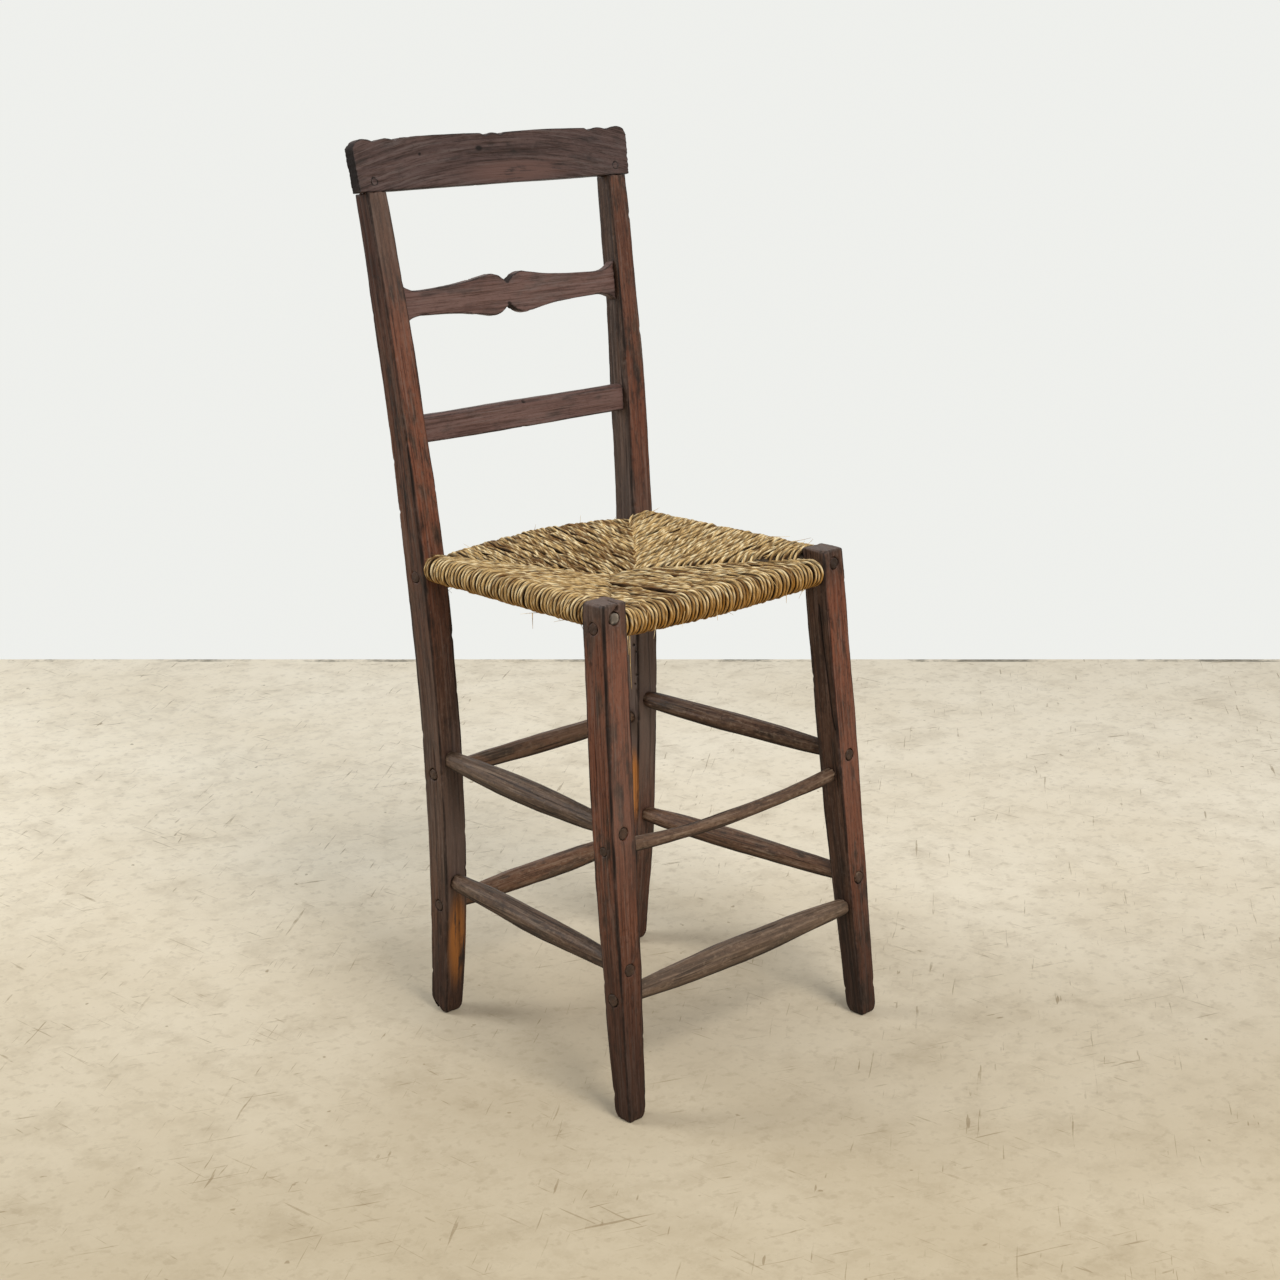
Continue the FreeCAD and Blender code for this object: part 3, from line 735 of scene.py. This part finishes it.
for node, (seed, cracks, arris, foot) in LEGS.items():
    worn_piece(node, LEG_WOOD, "dark_wood", seed, voxel=0.0011, cracks=cracks, tones=LEG_TONES[node],
               arris=arris, foot=foot)
worn_piece("crest_board", CREST_WOOD, "dark_wood", 50, voxel=0.0008, arch=0.55, **BOARD_WEAR)
worn_piece("crest_pegs", CREST_WOOD, "dark_wood", 60, voxel=0.0006, wave=0.0001, dents=4, dent_size=0.002,
           dent_depth=0.0006, ends=0.003, sunk=0.0003)
worn_piece("shaped_back_rail", RAIL_WOOD, "dark_wood", 70, voxel=0.0009, tones=RAIL_TONES, **BOARD_WEAR)
worn_piece("lower_back_rail", RAIL_WOOD, "dark_wood", 80, voxel=0.001, tones=RAIL_TONES, **BOARD_WEAR)
# The stretchers get painted shade on their undersides
for number, (name, (red, pale)) in enumerate(STICK_TONES.items()):
    worn_piece("stretcher_" + name, STICK_WOOD, "weathered_wood", 100 + 10 * number, voxel=0.0013,
               wave=0.0007, fibre=0.0003, dents=14, cracks=8, tones=((0.0, red, red, pale, pale),),
               under=0.85, **TENON_WEAR)
for number, (name, (material, tip_tone)) in enumerate(SEAT_RAILS.items()):
    worn_piece("seat_rail_" + name, material, "dark_wood", 200 + 10 * number, tip_tone=tip_tone, **TENON_WEAR)


# Rush seat, in metres, as in the solids

SIDES = ("right", "left")
ROLL_RADIUS = 0.0180
SEAM_HALF = 0.025
SEAM_TOP = 0.613
SEAM_BOTTOM = 0.592
REAR_CROWN = 0.012

# Inner corners of the legs at the seat, where the mitre seams start
FRONT_CORNER = (0.1767, -0.1526)
REAR_CORNER = (0.1704, 0.1529)

# How far the front roll hangs below its rail at the middle
FRONT_SAG = 0.005

# Cord: its radius, the length of one twist, and the sides and spacing of its rings
CORD_RADIUS = 0.0029
TWIST_LENGTH = 0.046
CORD_SIDES = 12
CORD_STEP = 0.0019

# How far round a roll the smooth top of the seat goes before the cords show as ribs
ROLL_SHOULDER = 0.022

# Spacing of a cord's points on top and underneath, their distance from its bends, and those on the roll
TOP_SPACING = 0.012
UNDER_SPACING = 0.020
BEND_MARGIN = 0.004
ROLL_POINTS = 13
ROLL_START = 0.12

# How the ends of a cord dive into the seam: steps towards the middle, and down on top or up underneath
DIVE_ON_TOP = ((0.006, 0.011), (0.003, 0.006), (0.0, 0.0018))
DIVE_UNDERNEATH = ((0.0, 0.003), (0.005, 0.009))
TUCKED = (0.001, 0.004)

# Where the ends of the cords have pulled out of a mitre seam and left a dark hole
WORN_HOLE = {"panel": "left", "place": -0.115, "half": 0.008, "depth": 0.009}

# Wraps on each rail: how many, between which places along it, and how pale the panel is
WRAPS = {
    "right": (50, FRONT_CORNER[1], REAR_CORNER[1], 1.00),
    "left": (50, FRONT_CORNER[1], REAR_CORNER[1], 1.22),
    "front": (60, -FRONT_CORNER[0], FRONT_CORNER[0], 0.78),
    "rear": (58, -REAR_CORNER[0], REAR_CORNER[0], 0.70)}

# How much the cords differ in place, as a share of their spacing, and in tone
PLACE_SPREAD = 0.13
TONE_SPREAD = 0.33

# How often the cords of each panel lie down between their neighbours, and how deep
UNEVEN = {"right": -0.6, "left": -0.4, "front": 0.0, "rear": 0.2}
SINK = 0.0026

# How much darker the cords of each panel are where they dive into the seams, as painted shade, and at its
# rear end
SEAM_SHADE = {"right": 0.2, "left": 0.3, "front": 0.8, "rear": 1.0}
REAR_END_SHADE = {"right": 0.5, "left": 0.2, "front": 0.0, "rear": 0.0}

# Loose fibres: how many stand off the cords, and where longer ones hang, with their drop
LOOSE_FIBRES = 170
LOOSE_RADIUS = 0.00045
HANGING = [
    ((-0.1755, -0.186, 0.604), 0.085), ((-0.1715, -0.182, 0.602), 0.095),
    ((-0.1690, -0.183, 0.602), 0.030), ((-0.1625, -0.180, 0.600), 0.075),
    ((-0.2085, -0.058, 0.606), 0.020), ((0.1100, -0.186, 0.600), 0.016),
    ((-0.0200, -0.188, 0.600), 0.014)]
HANGING_RADIUS = 0.0006
FIBRE_SIDES = 5
FIBRE_STEP = 0.002

# Colours of dry rush, from pale straw that also stands in as painted highlight, to the painted shade between
# the cords
RUSH_PALE_AND_HIGHLIGHT = (0.990, 0.815, 0.490)
RUSH_STRAW = (0.660, 0.440, 0.182)
RUSH_BROWN = (0.200, 0.098, 0.026)
RUSH_SHADED_GOLD = (0.420, 0.190, 0.026)
RUSH_DARK = (0.074, 0.030, 0.007)
RUSH_GAP_SHADE = (0.022, 0.008, 0.001)

# Packed rush under the cords: steps, distances from the rails and the seat's faces, and its near black
# colours, painted shade for the gaps between the cords
BED_STEPS = 48
BED_MARGIN = 0.014
BED_BELOW_TOP = 0.0075
BED_ABOVE_BOTTOM = 0.0065
BED_SHADE_COLOURS = ((0.014, 0.008, 0.004), (0.070, 0.042, 0.018))


def rail_line(node):
    """Middle points of a seat rail where it enters the two legs."""
    points = solid_points(node)
    along = 0 if np.ptp(points[:, 0]) > np.ptp(points[:, 1]) else 1
    ends = []
    for limit in (points[:, along].min(), points[:, along].max()):
        near = points[np.abs(points[:, along] - limit) < 0.0015]
        ends.append((near.min(axis=0) + near.max(axis=0)) / 2)
    return np.array(ends)


RAILS = {name: rail_line("seat_rail_" + name) for name in WRAPS}
FRONT_Y = RAILS["front"][0][1]
REAR_Y = RAILS["rear"][0][1]
SIDE_X = abs(RAILS["left"][:, 0].mean())
END_Z = RAILS["front"][0][2]
SIDE_Z = RAILS["left"][0][2]


def side_share(x):
    """How far from the middle seam towards its rail a place in a side panel lies."""
    return np.clip((np.abs(x) - SEAM_HALF) / (SIDE_X - SEAM_HALF), 0, 1)


def rear_crown(x):
    return REAR_CROWN * (1 - (x / REAR_CORNER[0]) ** 2)


def panel_top(name, x, y):
    """Height of the top of the rush in one panel."""
    if name in SIDES:
        return SEAM_TOP + (SIDE_Z + ROLL_RADIUS - SEAM_TOP) * side_share(x)
    if name == "front":
        return SEAM_TOP + (END_Z + ROLL_RADIUS - SEAM_TOP) * np.clip(y / FRONT_Y, 0, 1)
    return SEAM_TOP + (END_Z + ROLL_RADIUS + rear_crown(x) - SEAM_TOP) * np.clip(y / REAR_Y, 0, 1)


def panel_bottom(name, x):
    """Height of the underside of the rush in one panel."""
    if name in SIDES:
        return SEAM_BOTTOM + (SIDE_Z - ROLL_RADIUS - SEAM_BOTTOM) * side_share(x)
    return SEAM_BOTTOM


def seam_reach(name, place):
    """How near the chair's middle a cord comes before it meets the seam."""
    if name in SIDES:
        corner = FRONT_CORNER if place < 0 else REAR_CORNER
        reach = SEAM_HALF + (corner[0] - SEAM_HALF) * min(1.0, abs(place / corner[1]))
    else:
        corner = FRONT_CORNER if name == "front" else REAR_CORNER
        reach = abs(corner[1]) * max(0.0, (abs(place) - SEAM_HALF) / (corner[0] - SEAM_HALF))
    if name == WORN_HOLE["panel"]:
        reach += WORN_HOLE["depth"] * math.exp(-((place - WORN_HOLE["place"]) / WORN_HOLE["half"]) ** 2)
    return reach


def cord_line(name, place, draw):
    """Middle line of one wrap of cord: from the seam over the rail and back to the seam underneath.
    The second result is how many of its points lie on top."""
    sideways = name in SIDES
    sign = -1 if name in ("right", "front") else 1
    start, end = RAILS[name]
    along, inward = (1, 0) if sideways else (0, 1)
    centre = start + (end - start) * ((place - start[along]) / (end[along] - start[along]))
    reach = seam_reach(name, place)
    far = abs(centre[inward])
    radius = ROLL_RADIUS - CORD_RADIUS
    lift = rear_crown(place) if name == "rear" else 0.0
    sag = FRONT_SAG * (1 - (place / FRONT_CORNER[0]) ** 2) if name == "front" else 0.0
    tucks = (0.0, draw.uniform(*TUCKED), 0.0)
    top = []
    count = max(2, int((far - reach) / TOP_SPACING))
    for distance in np.linspace(reach + BEND_MARGIN, far - BEND_MARGIN, count):
        x, y = (sign * distance, place) if sideways else (place, sign * distance)
        top.append((distance, float(panel_top(name, x, y)) - CORD_RADIUS))
    line = [(reach - inwards - tuck, top[0][1] - down) for (inwards, down), tuck in zip(DIVE_ON_TOP, tucks)]
    line += top
    top_count = len(line)
    for angle in np.linspace(ROLL_START, math.pi - ROLL_START, ROLL_POINTS):
        rise = radius * math.cos(angle)
        rise *= 1 + (lift if rise > 0 else sag) / radius
        line.append((far + radius * math.sin(angle), centre[2] + rise))
    count = max(2, int((far - reach) / UNDER_SPACING))
    for distance in np.linspace(far - BEND_MARGIN, reach + BEND_MARGIN, count):
        x = sign * distance if sideways else place
        line.append((distance, float(panel_bottom(name, x)) + CORD_RADIUS))
    last = line[-1][1]
    line += [(reach - inwards, last + up) for inwards, up in DIVE_UNDERNEATH]
    points = np.zeros((len(line), 3))
    points[:, inward] = [sign * distance for distance, height in line]
    points[:, along] = place
    points[:, 2] = [height for distance, height in line]
    return points, top_count


def resampled(points, step):
    """A smooth line through the points in even steps, and the length along it."""
    steps = np.linalg.norm(np.diff(points, axis=0), axis=1)
    length = np.concatenate([[0], np.cumsum(steps)])
    count = max(4, int(length[-1] / step))
    even = np.linspace(0, length[-1], count)
    result = np.stack([np.interp(even, length, points[:, k]) for k in range(3)], axis=1)
    for _ in range(3):
        result[1:-1] = 0.25 * result[:-2] + 0.5 * result[1:-1] + 0.25 * result[2:]
    return result, even


class Cords:
    """Gathers the points, faces and values of many cords."""

    def __init__(self):
        self.points = []
        self.faces = []
        self.values = {"fibre": [], "groove": [], "gap": [], "tone": [], "warm": []}
        self.count = 0
        self.lines = []

    def add(self, rings, **values):
        """One cord, given the points of its rings and their values, which are 0 where left out."""
        faces = tube_faces(rings.shape[0], rings.shape[1])
        self.points.append(rings.reshape(-1, 3))
        self.faces += [tuple(index + self.count for index in face) for face in faces]
        count = rings.shape[0] * rings.shape[1]
        self.count += count
        for name, gathered in self.values.items():
            gathered.append(values.get(name, np.zeros(count)))

    def piece(self, name):
        made = new_piece(name, np.concatenate(self.points).tolist(), self.faces)
        for key, value in self.values.items():
            set_values(made.data, key, np.concatenate(value))
        made.data.shade_smooth()
        return made


def tube_faces(rings, sides):
    faces = []
    for ring in range(rings - 1):
        for side in range(sides):
            after = (side + 1) % sides
            a, b = ring * sides + side, ring * sides + after
            faces.append((a, b, b + sides, a + sides))
    faces.append(tuple(range(sides))[::-1])
    faces.append(tuple((rings - 1) * sides + side for side in range(sides)))
    return faces


def low_places(length, share, draw):
    """How far a cord lies down between its neighbours along its length, from 0 to 1."""
    wave = np.sin(length * draw.uniform(40, 90) + draw.uniform(*PHASES))
    wave += 0.6 * np.sin(length * draw.uniform(90, 180) + draw.uniform(*PHASES))
    return smooth_step(0.3, 1.3, wave + draw.normal(share, 0.7))


def open_gaps(length, share, draw):
    """How open the gap beside a cord is along its length, from 0 to 1."""
    wave = np.sin(length * draw.uniform(20, 50) + draw.uniform(*PHASES))
    return smooth_step(-0.3, 1.0, wave + draw.normal(share, 0.8))


def swayed(line, length, top_length, along, sway, draw):
    """The line of a cord with small bends sideways and up and down."""
    wander = 0.0006 * np.sin(length * 55 + sway[0]) + 0.0004 * np.sin(length * 130 + sway[1])
    wander += draw.normal(0, 0.0013) * np.sin(math.pi * np.clip(length / top_length, 0, 1)) ** 2
    line = line + wander[:, None] * along
    line[:, 2] += 0.0005 * np.sin(length * 90 + sway[2])
    return line


def spokes(angles, first, second):
    """Directions from the middle of each ring to its points."""
    return np.cos(angles)[None, :, None] * first[:, None, :] + np.sin(angles)[None, :, None] * second


def ring_angles(sides):
    return np.arange(sides) * 2 * math.pi / sides


def lay_cord(cords, name, place, tone, draw):
    """One twisted two-strand cord wound over a rail."""
    line, top_count = cord_line(name, place, draw)
    top_length = np.linalg.norm(np.diff(line[:top_count], axis=0), axis=1).sum()
    line, length = resampled(line, CORD_STEP)
    on_top = 1 - smooth_step(top_length, top_length + ROLL_SHOULDER, length)
    low = low_places(length, UNEVEN[name], draw) * on_top
    line[:, 2] -= SINK * low
    sway = draw.uniform(0, 10, 3)
    along = np.array([0.0, 1.0, 0.0]) if name in SIDES else np.array([1.0, 0.0, 0.0])
    line = swayed(line, length, top_length, along, sway, draw)
    forward = unit_rows(np.gradient(line, axis=0))
    outward = unit_rows(np.cross(forward, along))
    if outward[len(line) // 5, 2] < 0:
        outward = -outward
    thick = CORD_RADIUS * draw.uniform(0.82, 1.12) * (1 + 0.07 * np.sin(length * 160 + sway[1]))
    twist = 2 * math.pi * length / (TWIST_LENGTH * draw.uniform(0.8, 1.3)) + draw.uniform(*PHASES)
    angles = ring_angles(CORD_SIDES)
    turned = angles[None, :] - twist[:, None]
    crest = np.cos(2 * turned)
    lobe = 0.05 + 0.06 * on_top
    radius = thick[:, None] * (1.0 + lobe[:, None] * crest + 0.05 * np.cos(5 * turned + sway[0]))
    rings = line[:, None, :] + radius[..., None] * spokes(angles, outward, along)
    run = np.repeat((length + draw.uniform(0, 40))[:, None], CORD_SIDES, axis=1)
    fibre = np.stack([np.cos(turned), np.sin(turned), run], axis=-1)
    gaps = open_gaps(length, UNEVEN[name], draw)
    cords.add(rings, fibre=fibre.reshape(-1, 3),
              # Painted shade in the grooves of the twist
              groove=(smooth_step(0.3, 0.95, -crest) * (0.35 + 0.25 * on_top)[:, None]).ravel(),
              # Painted shade on the flanks between cords
              gap=cord_flank_shade(angles, on_top, gaps).ravel(),
              tone=np.repeat(cord_tone(name, length, tone, low, sway), CORD_SIDES),
              # Gold and painted shade low on the outside of the roll
              warm=np.repeat(roll_gold_and_shade(name, line, length, top_length), CORD_SIDES))
    cords.lines.append((line, forward, outward, along))


def cord_flank_shade(angles, on_top, gaps):
    """Painted shade on the flanks of a cord, where they lie against its neighbours."""
    flank = 1 - np.maximum(0, np.cos(angles))
    open_share = (0.60 + 0.40 * gaps) * on_top
    on_panel = smooth_step(0.10, 0.36, flank)[None, :] * open_share[:, None]
    on_roll = smooth_step(0.04, 0.30, flank)[None, :] * (1 - on_top)[:, None]
    return on_panel + on_roll


def cord_tone(name, length, tone, low, sway):
    """How pale a cord is along its length, darker as painted shade where it lies low or dives into the seam.
    """
    at_seam = 1 - smooth_step(0.006, 0.018, length)
    shade = tone + 0.10 * np.sin(length * 30 + sway[0]) + 0.10 * np.sin(length * 95 + sway[2])
    # Painted shade where the cord lies low and where it dives into the seam
    shade -= 0.5 * low + SEAM_SHADE[name] * at_seam
    return shade


def roll_gold_and_shade(name, line, length, top_length):
    """How golden a cord is on the lower outside of the roll, where the gold also darkens it as painted shade.
    """
    upper = 0.634 if name in SIDES else 0.624
    roll = 1 - smooth_step(0.600, upper, line[:, 2])
    return roll * smooth_step(0.9 * top_length, top_length, length)


def lay_fibre(cords, path, radius, tone, draw):
    """One thin loose fibre along a path, tapered to its tip."""
    path, length = resampled(np.array(path), FIBRE_STEP)
    forward = unit_rows(np.gradient(path, axis=0))
    helper = np.array([0.31, 0.94, 0.12])
    across = unit_rows(np.cross(forward, helper))
    other = np.cross(forward, across)
    taper = radius * (1 - 0.7 * length / length[-1])
    spoke = spokes(ring_angles(FIBRE_SIDES), across, other[:, None, :])
    rings = path[:, None, :] + taper[:, None, None] * spoke
    count = len(path) * FIBRE_SIDES
    fibre = np.zeros((count, 3))
    fibre[:, 2] = draw.uniform(0, 40) + np.repeat(length, FIBRE_SIDES)
    cords.add(rings, fibre=fibre, tone=np.full(count, tone))


def lay_loose_fibre(cords, draw):
    """One short fibre that stands off a cord somewhere."""
    line, forward, outward, along = cords.lines[draw.integers(len(cords.lines))]
    start = draw.integers(2, len(line) - 2)
    reach = draw.uniform(0.008, 0.024)
    lift = draw.uniform(0.03, 0.18) * reach
    lean = draw.normal(0, 0.35) * reach
    sign = draw.choice((-1, 1))
    path = []
    for share in np.linspace(0, 1, 6):
        ahead = sign * share * reach * forward[start]
        raised = (0.9 * CORD_RADIUS + lift * share ** 2) * outward[start]
        path.append(line[start] + ahead + raised + lean * share * along)
    lay_fibre(cords, path, LOOSE_RADIUS, draw.uniform(0.4, 1.1), draw)


def lay_hanging_fibre(cords, top, drop, draw):
    """One longer fibre that hangs from the seat's edge."""
    x, y, z = top
    lean = draw.normal(0, 0.05, 2)
    path = [(x + lean[0] * drop * share ** 2, y + lean[1] * drop * share ** 2, z - drop * share)
            for share in np.linspace(0, 1, 7)]
    lay_fibre(cords, path, HANGING_RADIUS, draw.uniform(0.8, 1.2), draw)


def rush_cords():
    draw = np.random.default_rng(7)
    cords = Cords()
    for name, (count, low, high, tone) in WRAPS.items():
        pitch = (high - low) / count
        for number in range(count):
            place = low + (number + 0.5 + draw.normal(0, PLACE_SPREAD)) * pitch
            rear_end = smooth_step(0.6, 1.0, place / REAR_CORNER[1])
            shade = tone + draw.normal(0, TONE_SPREAD) - REAR_END_SHADE[name] * rear_end
            lay_cord(cords, name, place, shade, draw)
    for _ in range(LOOSE_FIBRES):
        lay_loose_fibre(cords, draw)
    for top, drop in HANGING:
        lay_hanging_fibre(cords, top, drop, draw)
    return cords.piece("rush_cords")


def rush_material():
    """Dry twisted rush: pale and brown streaks along each strand, the pale ones partly painted highlight,
    with painted shade in the grooves of the twist and between the cords, and gold with painted shade low on
    the rolls.
    """
    s = Shader("rush_cord")
    fibre = s.read("fibre", "Vector")
    streak = s.noise(fibre, (1.0, 1.0, 34), 3, 0.6)
    leaf = s.noise(fibre, (0.45, 0.45, 48), 3, 0.55)
    fine = s.noise(fibre, (8, 8, 40), 3, 0.6)
    tone = s.plus(s.read("tone"), s.times(s.math("SUBTRACT", leaf, 0.5), 2.1))
    colour = s.mix(s.step(tone, 0.05, 0.95), RUSH_BROWN, RUSH_STRAW)
    # Pale streaks: the straw's own colour and painted highlight
    pale = s.times(s.step(streak, 0.50, 0.60), s.step(tone, -0.3, 1.0))
    colour = s.tint(colour, pale, 0.95, RUSH_PALE_AND_HIGHLIGHT)
    colour = s.tint(colour, s.step(streak, 0.46, 0.36), 0.65, RUSH_DARK)
    # Gold and painted shade low on the outside of the roll
    colour = s.tint(colour, s.read("warm"), 0.78, RUSH_SHADED_GOLD)
    # Painted shade in the grooves of the twist
    colour = s.mix(s.read("groove"), colour, RUSH_DARK)
    # Painted shade between the cords
    colour = s.tint(colour, s.read("gap"), 0.96, RUSH_GAP_SHADE)
    height = s.plus(streak, s.times(fine, 0.7))
    s.set(Base_Color=colour, Roughness=s.plus(s.times(fine, 0.3), 0.42), Normal=s.bump(height, 0.0008),
          Specular_IOR_Level=0.12)
    return s.material


def bed_point(row, column, under):
    """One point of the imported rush, on its top or on its underside."""
    x = (SIDE_X - BED_MARGIN) * (2 * column / BED_STEPS - 1)
    y = (FRONT_Y + BED_MARGIN) + (REAR_Y - FRONT_Y - 2 * BED_MARGIN) * row / BED_STEPS
    corner = REAR_CORNER if y > 0 else FRONT_CORNER
    if abs(x) / corner[0] > abs(y / corner[1]):
        name = "right" if x < 0 else "left"
    else:
        name = "front" if y < 0 else "rear"
    if under:
        return x, y, float(panel_bottom(name, x)) + BED_ABOVE_BOTTOM
    return x, y, float(panel_top(name, x, y)) - BED_BELOW_TOP


def rush_bed():
    """Packed rush under the cords, seen only in the gaps between them, where its near black colour is painted
    shade.
    """
    steps = BED_STEPS
    width = steps + 1
    layer = width * width
    points = []
    for under in (False, True):
        for row in range(width):
            points += [bed_point(row, column, under) for column in range(width)]
    faces = []
    for row in range(steps):
        for column in range(steps):
            a = row * width + column
            faces.append((a, a + 1, a + 1 + width, a + width))
            faces.append((a + layer + width, a + layer + 1 + width, a + layer + 1, a + layer))
    rim = [*range(width), *[row * width + steps for row in range(1, width)],
           *[steps * width + column for column in range(steps - 1, -1, -1)],
           *[row * width for row in range(steps - 1, 0, -1)]]
    for a, b in zip(rim, rim[1:] + rim[:1]):
        faces.append((a + layer, b + layer, b, a))
    made = new_piece("rush_bed", points, faces)
    made.data.shade_smooth()
    return made


def bed_material():
    s = Shader("rush_bed")
    straw = s.noise(s.place(), 300, 5, 0.6)
    # Near black: painted shade between the cords
    s.set(Base_Color=s.mix(straw, *BED_SHADE_COLOURS), Roughness=0.9, Normal=s.bump(straw, 0.002))
    return s.material


cords = rush_cords()
cords.data.materials.append(rush_material())
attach(cords, "root")
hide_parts("rush_seat")

bed = rush_bed()
bed.data.materials.append(bed_material())
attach(bed, "root")
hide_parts("rush_stuffing")


# Stage, light and camera

def floor_material(ahead):
    """Worn floor: paler far from the camera as painted light, with a painted shadow under the chair, dirt,
    stain marks, scratches, specks and a dirty far joint.
    """
    s = Shader("floor")
    place = s.place()
    cloud = s.noise(place, 2.2, 5, 0.6)
    grit = s.noise(place, 60, 4, 0.6)
    stain = s.noise(place, 7, 6, 0.7)
    mottled = s.noise(place, 17, 8, 0.72)
    light = s.step(s.plus(s.times(cloud, 0.8), s.times(grit, 0.2)), 0.3, 0.7)
    away = s.vector_math("DOT_PRODUCT", place, tuple(ahead), "Value")
    near = s.mix(light, *FLOOR_NEAR_SHADED_COLOURS)
    far = s.mix(light, *FLOOR_FAR_LIT_COLOURS)
    # Painted light: the floor grows paler away from the camera
    colour = s.mix(s.step(away, *FLOOR_LIGHT_FADE), near, far)
    from_chair = s.vector_math("LENGTH", place, output="Value")
    # Painted shadow on the floor under the chair
    under = s.step(s.plus(from_chair, s.times(cloud, 0.3)), *SHADED_UNDER_CHAIR)
    colour = s.tint(colour, under, 0.30, FLOOR_DIRT_AND_SHADE)
    dirt = ((stain, 0.48, 0.68, 0.15), (mottled, 0.46, 0.66, 0.16), (grit, 0.52, 0.68, 0.20))
    for spots, low, high, strength in dirt:
        colour = s.tint(colour, s.step(spots, low, high), strength, FLOOR_DIRT_AND_SHADE)
    for angle, strength in FLOOR_SCRATCHES:
        stroke = s.noise(s.turned(place, angle), (11, 190, 1), 2, 0.5, 0.8)
        drawn = s.times(s.step(stroke, 0.68, 0.72), s.step(stain, 0.42, 0.58))
        colour = s.tint(colour, drawn, strength, FLOOR_DIRT_AND_SHADE)
    speck = s.step(s.noise(place, 45, 2, 0.5), 0.73, 0.77)
    colour = s.tint(colour, speck, 0.6, FLOOR_DIRT_AND_SHADE)
    joint = s.step(away, FLOOR_FAR - FLOOR_JOINT, FLOOR_FAR - 0.7 * FLOOR_JOINT)
    worn_joint = s.step(s.noise(place, 5, 5, 0.75), 0.46, 0.62)
    colour = s.tint(colour, s.times(joint, worn_joint), 0.8, JOINT_DIRT)
    s.set(Base_Color=colour, Roughness=0.7, Specular_IOR_Level=0.2)
    return s.material


def floor():
    turn = math.radians(CAMERA_AZIMUTH)
    ahead = np.array([-math.sin(turn), math.cos(turn), 0])
    right = np.array([math.cos(turn), math.sin(turn), 0])
    corners = [ahead * FLOOR_FAR - right * FLOOR_REACH, -ahead * FLOOR_REACH - right * FLOOR_REACH,
               -ahead * FLOOR_REACH + right * FLOOR_REACH, ahead * FLOOR_FAR + right * FLOOR_REACH]
    plane = new_piece("floor", [tuple(corner) for corner in corners], [(0, 1, 2, 3)])
    plane.data.materials.append(floor_material(ahead))


def world():
    """Even light from all round, with a plain wall for what the camera and reflections see."""
    scene.world = bpy.data.worlds.new("studio")
    scene.world.use_nodes = True
    tree = scene.world.node_tree
    light = tree.nodes["Background"]
    light.inputs["Color"].default_value = SKY_COLOUR
    light.inputs["Strength"].default_value = SKY_STRENGTH
    wall = tree.nodes.new("ShaderNodeBackground")
    wall.inputs["Color"].default_value = WALL_COLOUR
    path = tree.nodes.new("ShaderNodeLightPath")
    choice = tree.nodes.new("ShaderNodeMixShader")
    seen = path.outputs["Is Camera Ray"]
    for ray in ("Is Glossy Ray", "Is Transmission Ray"):
        both = tree.nodes.new("ShaderNodeMath")
        both.operation = "ADD"
        both.use_clamp = True
        tree.links.new(seen, both.inputs[0])
        tree.links.new(path.outputs[ray], both.inputs[1])
        seen = both.outputs[0]
    tree.links.new(seen, choice.inputs[0])
    tree.links.new(light.outputs[0], choice.inputs[1])
    tree.links.new(wall.outputs[0], choice.inputs[2])
    tree.links.new(choice.outputs[0], tree.nodes["World Output"].inputs["Surface"])


def soft_light(name, place, size, power, colour):
    data = bpy.data.lights.new(name, "AREA")
    data.size = size
    data.energy = power
    data.color = colour
    lamp = bpy.data.objects.new(name, data)
    scene.collection.objects.link(lamp)
    lamp.location = place
    aim = np.array(LAMP_AIM) - np.array(place)
    pitch = math.atan2(math.hypot(aim[0], aim[1]), -aim[2])
    lamp.rotation_euler = (pitch, 0, math.atan2(-aim[0], aim[1]))


def camera():
    data = bpy.data.cameras.new("camera")
    data.lens = CAMERA_LENS
    data.sensor_width = SENSOR_WIDTH
    eye = bpy.data.objects.new("camera", data)
    scene.collection.objects.link(eye)
    eye.location = CAMERA_PLACE
    eye.rotation_euler = (math.radians(90 - CAMERA_PITCH), 0, math.radians(CAMERA_AZIMUTH))
    scene.camera = eye


floor()
world()
for name, lamp in LAMPS.items():
    soft_light(name, *lamp)
camera()

bpy.context.view_layer.update()
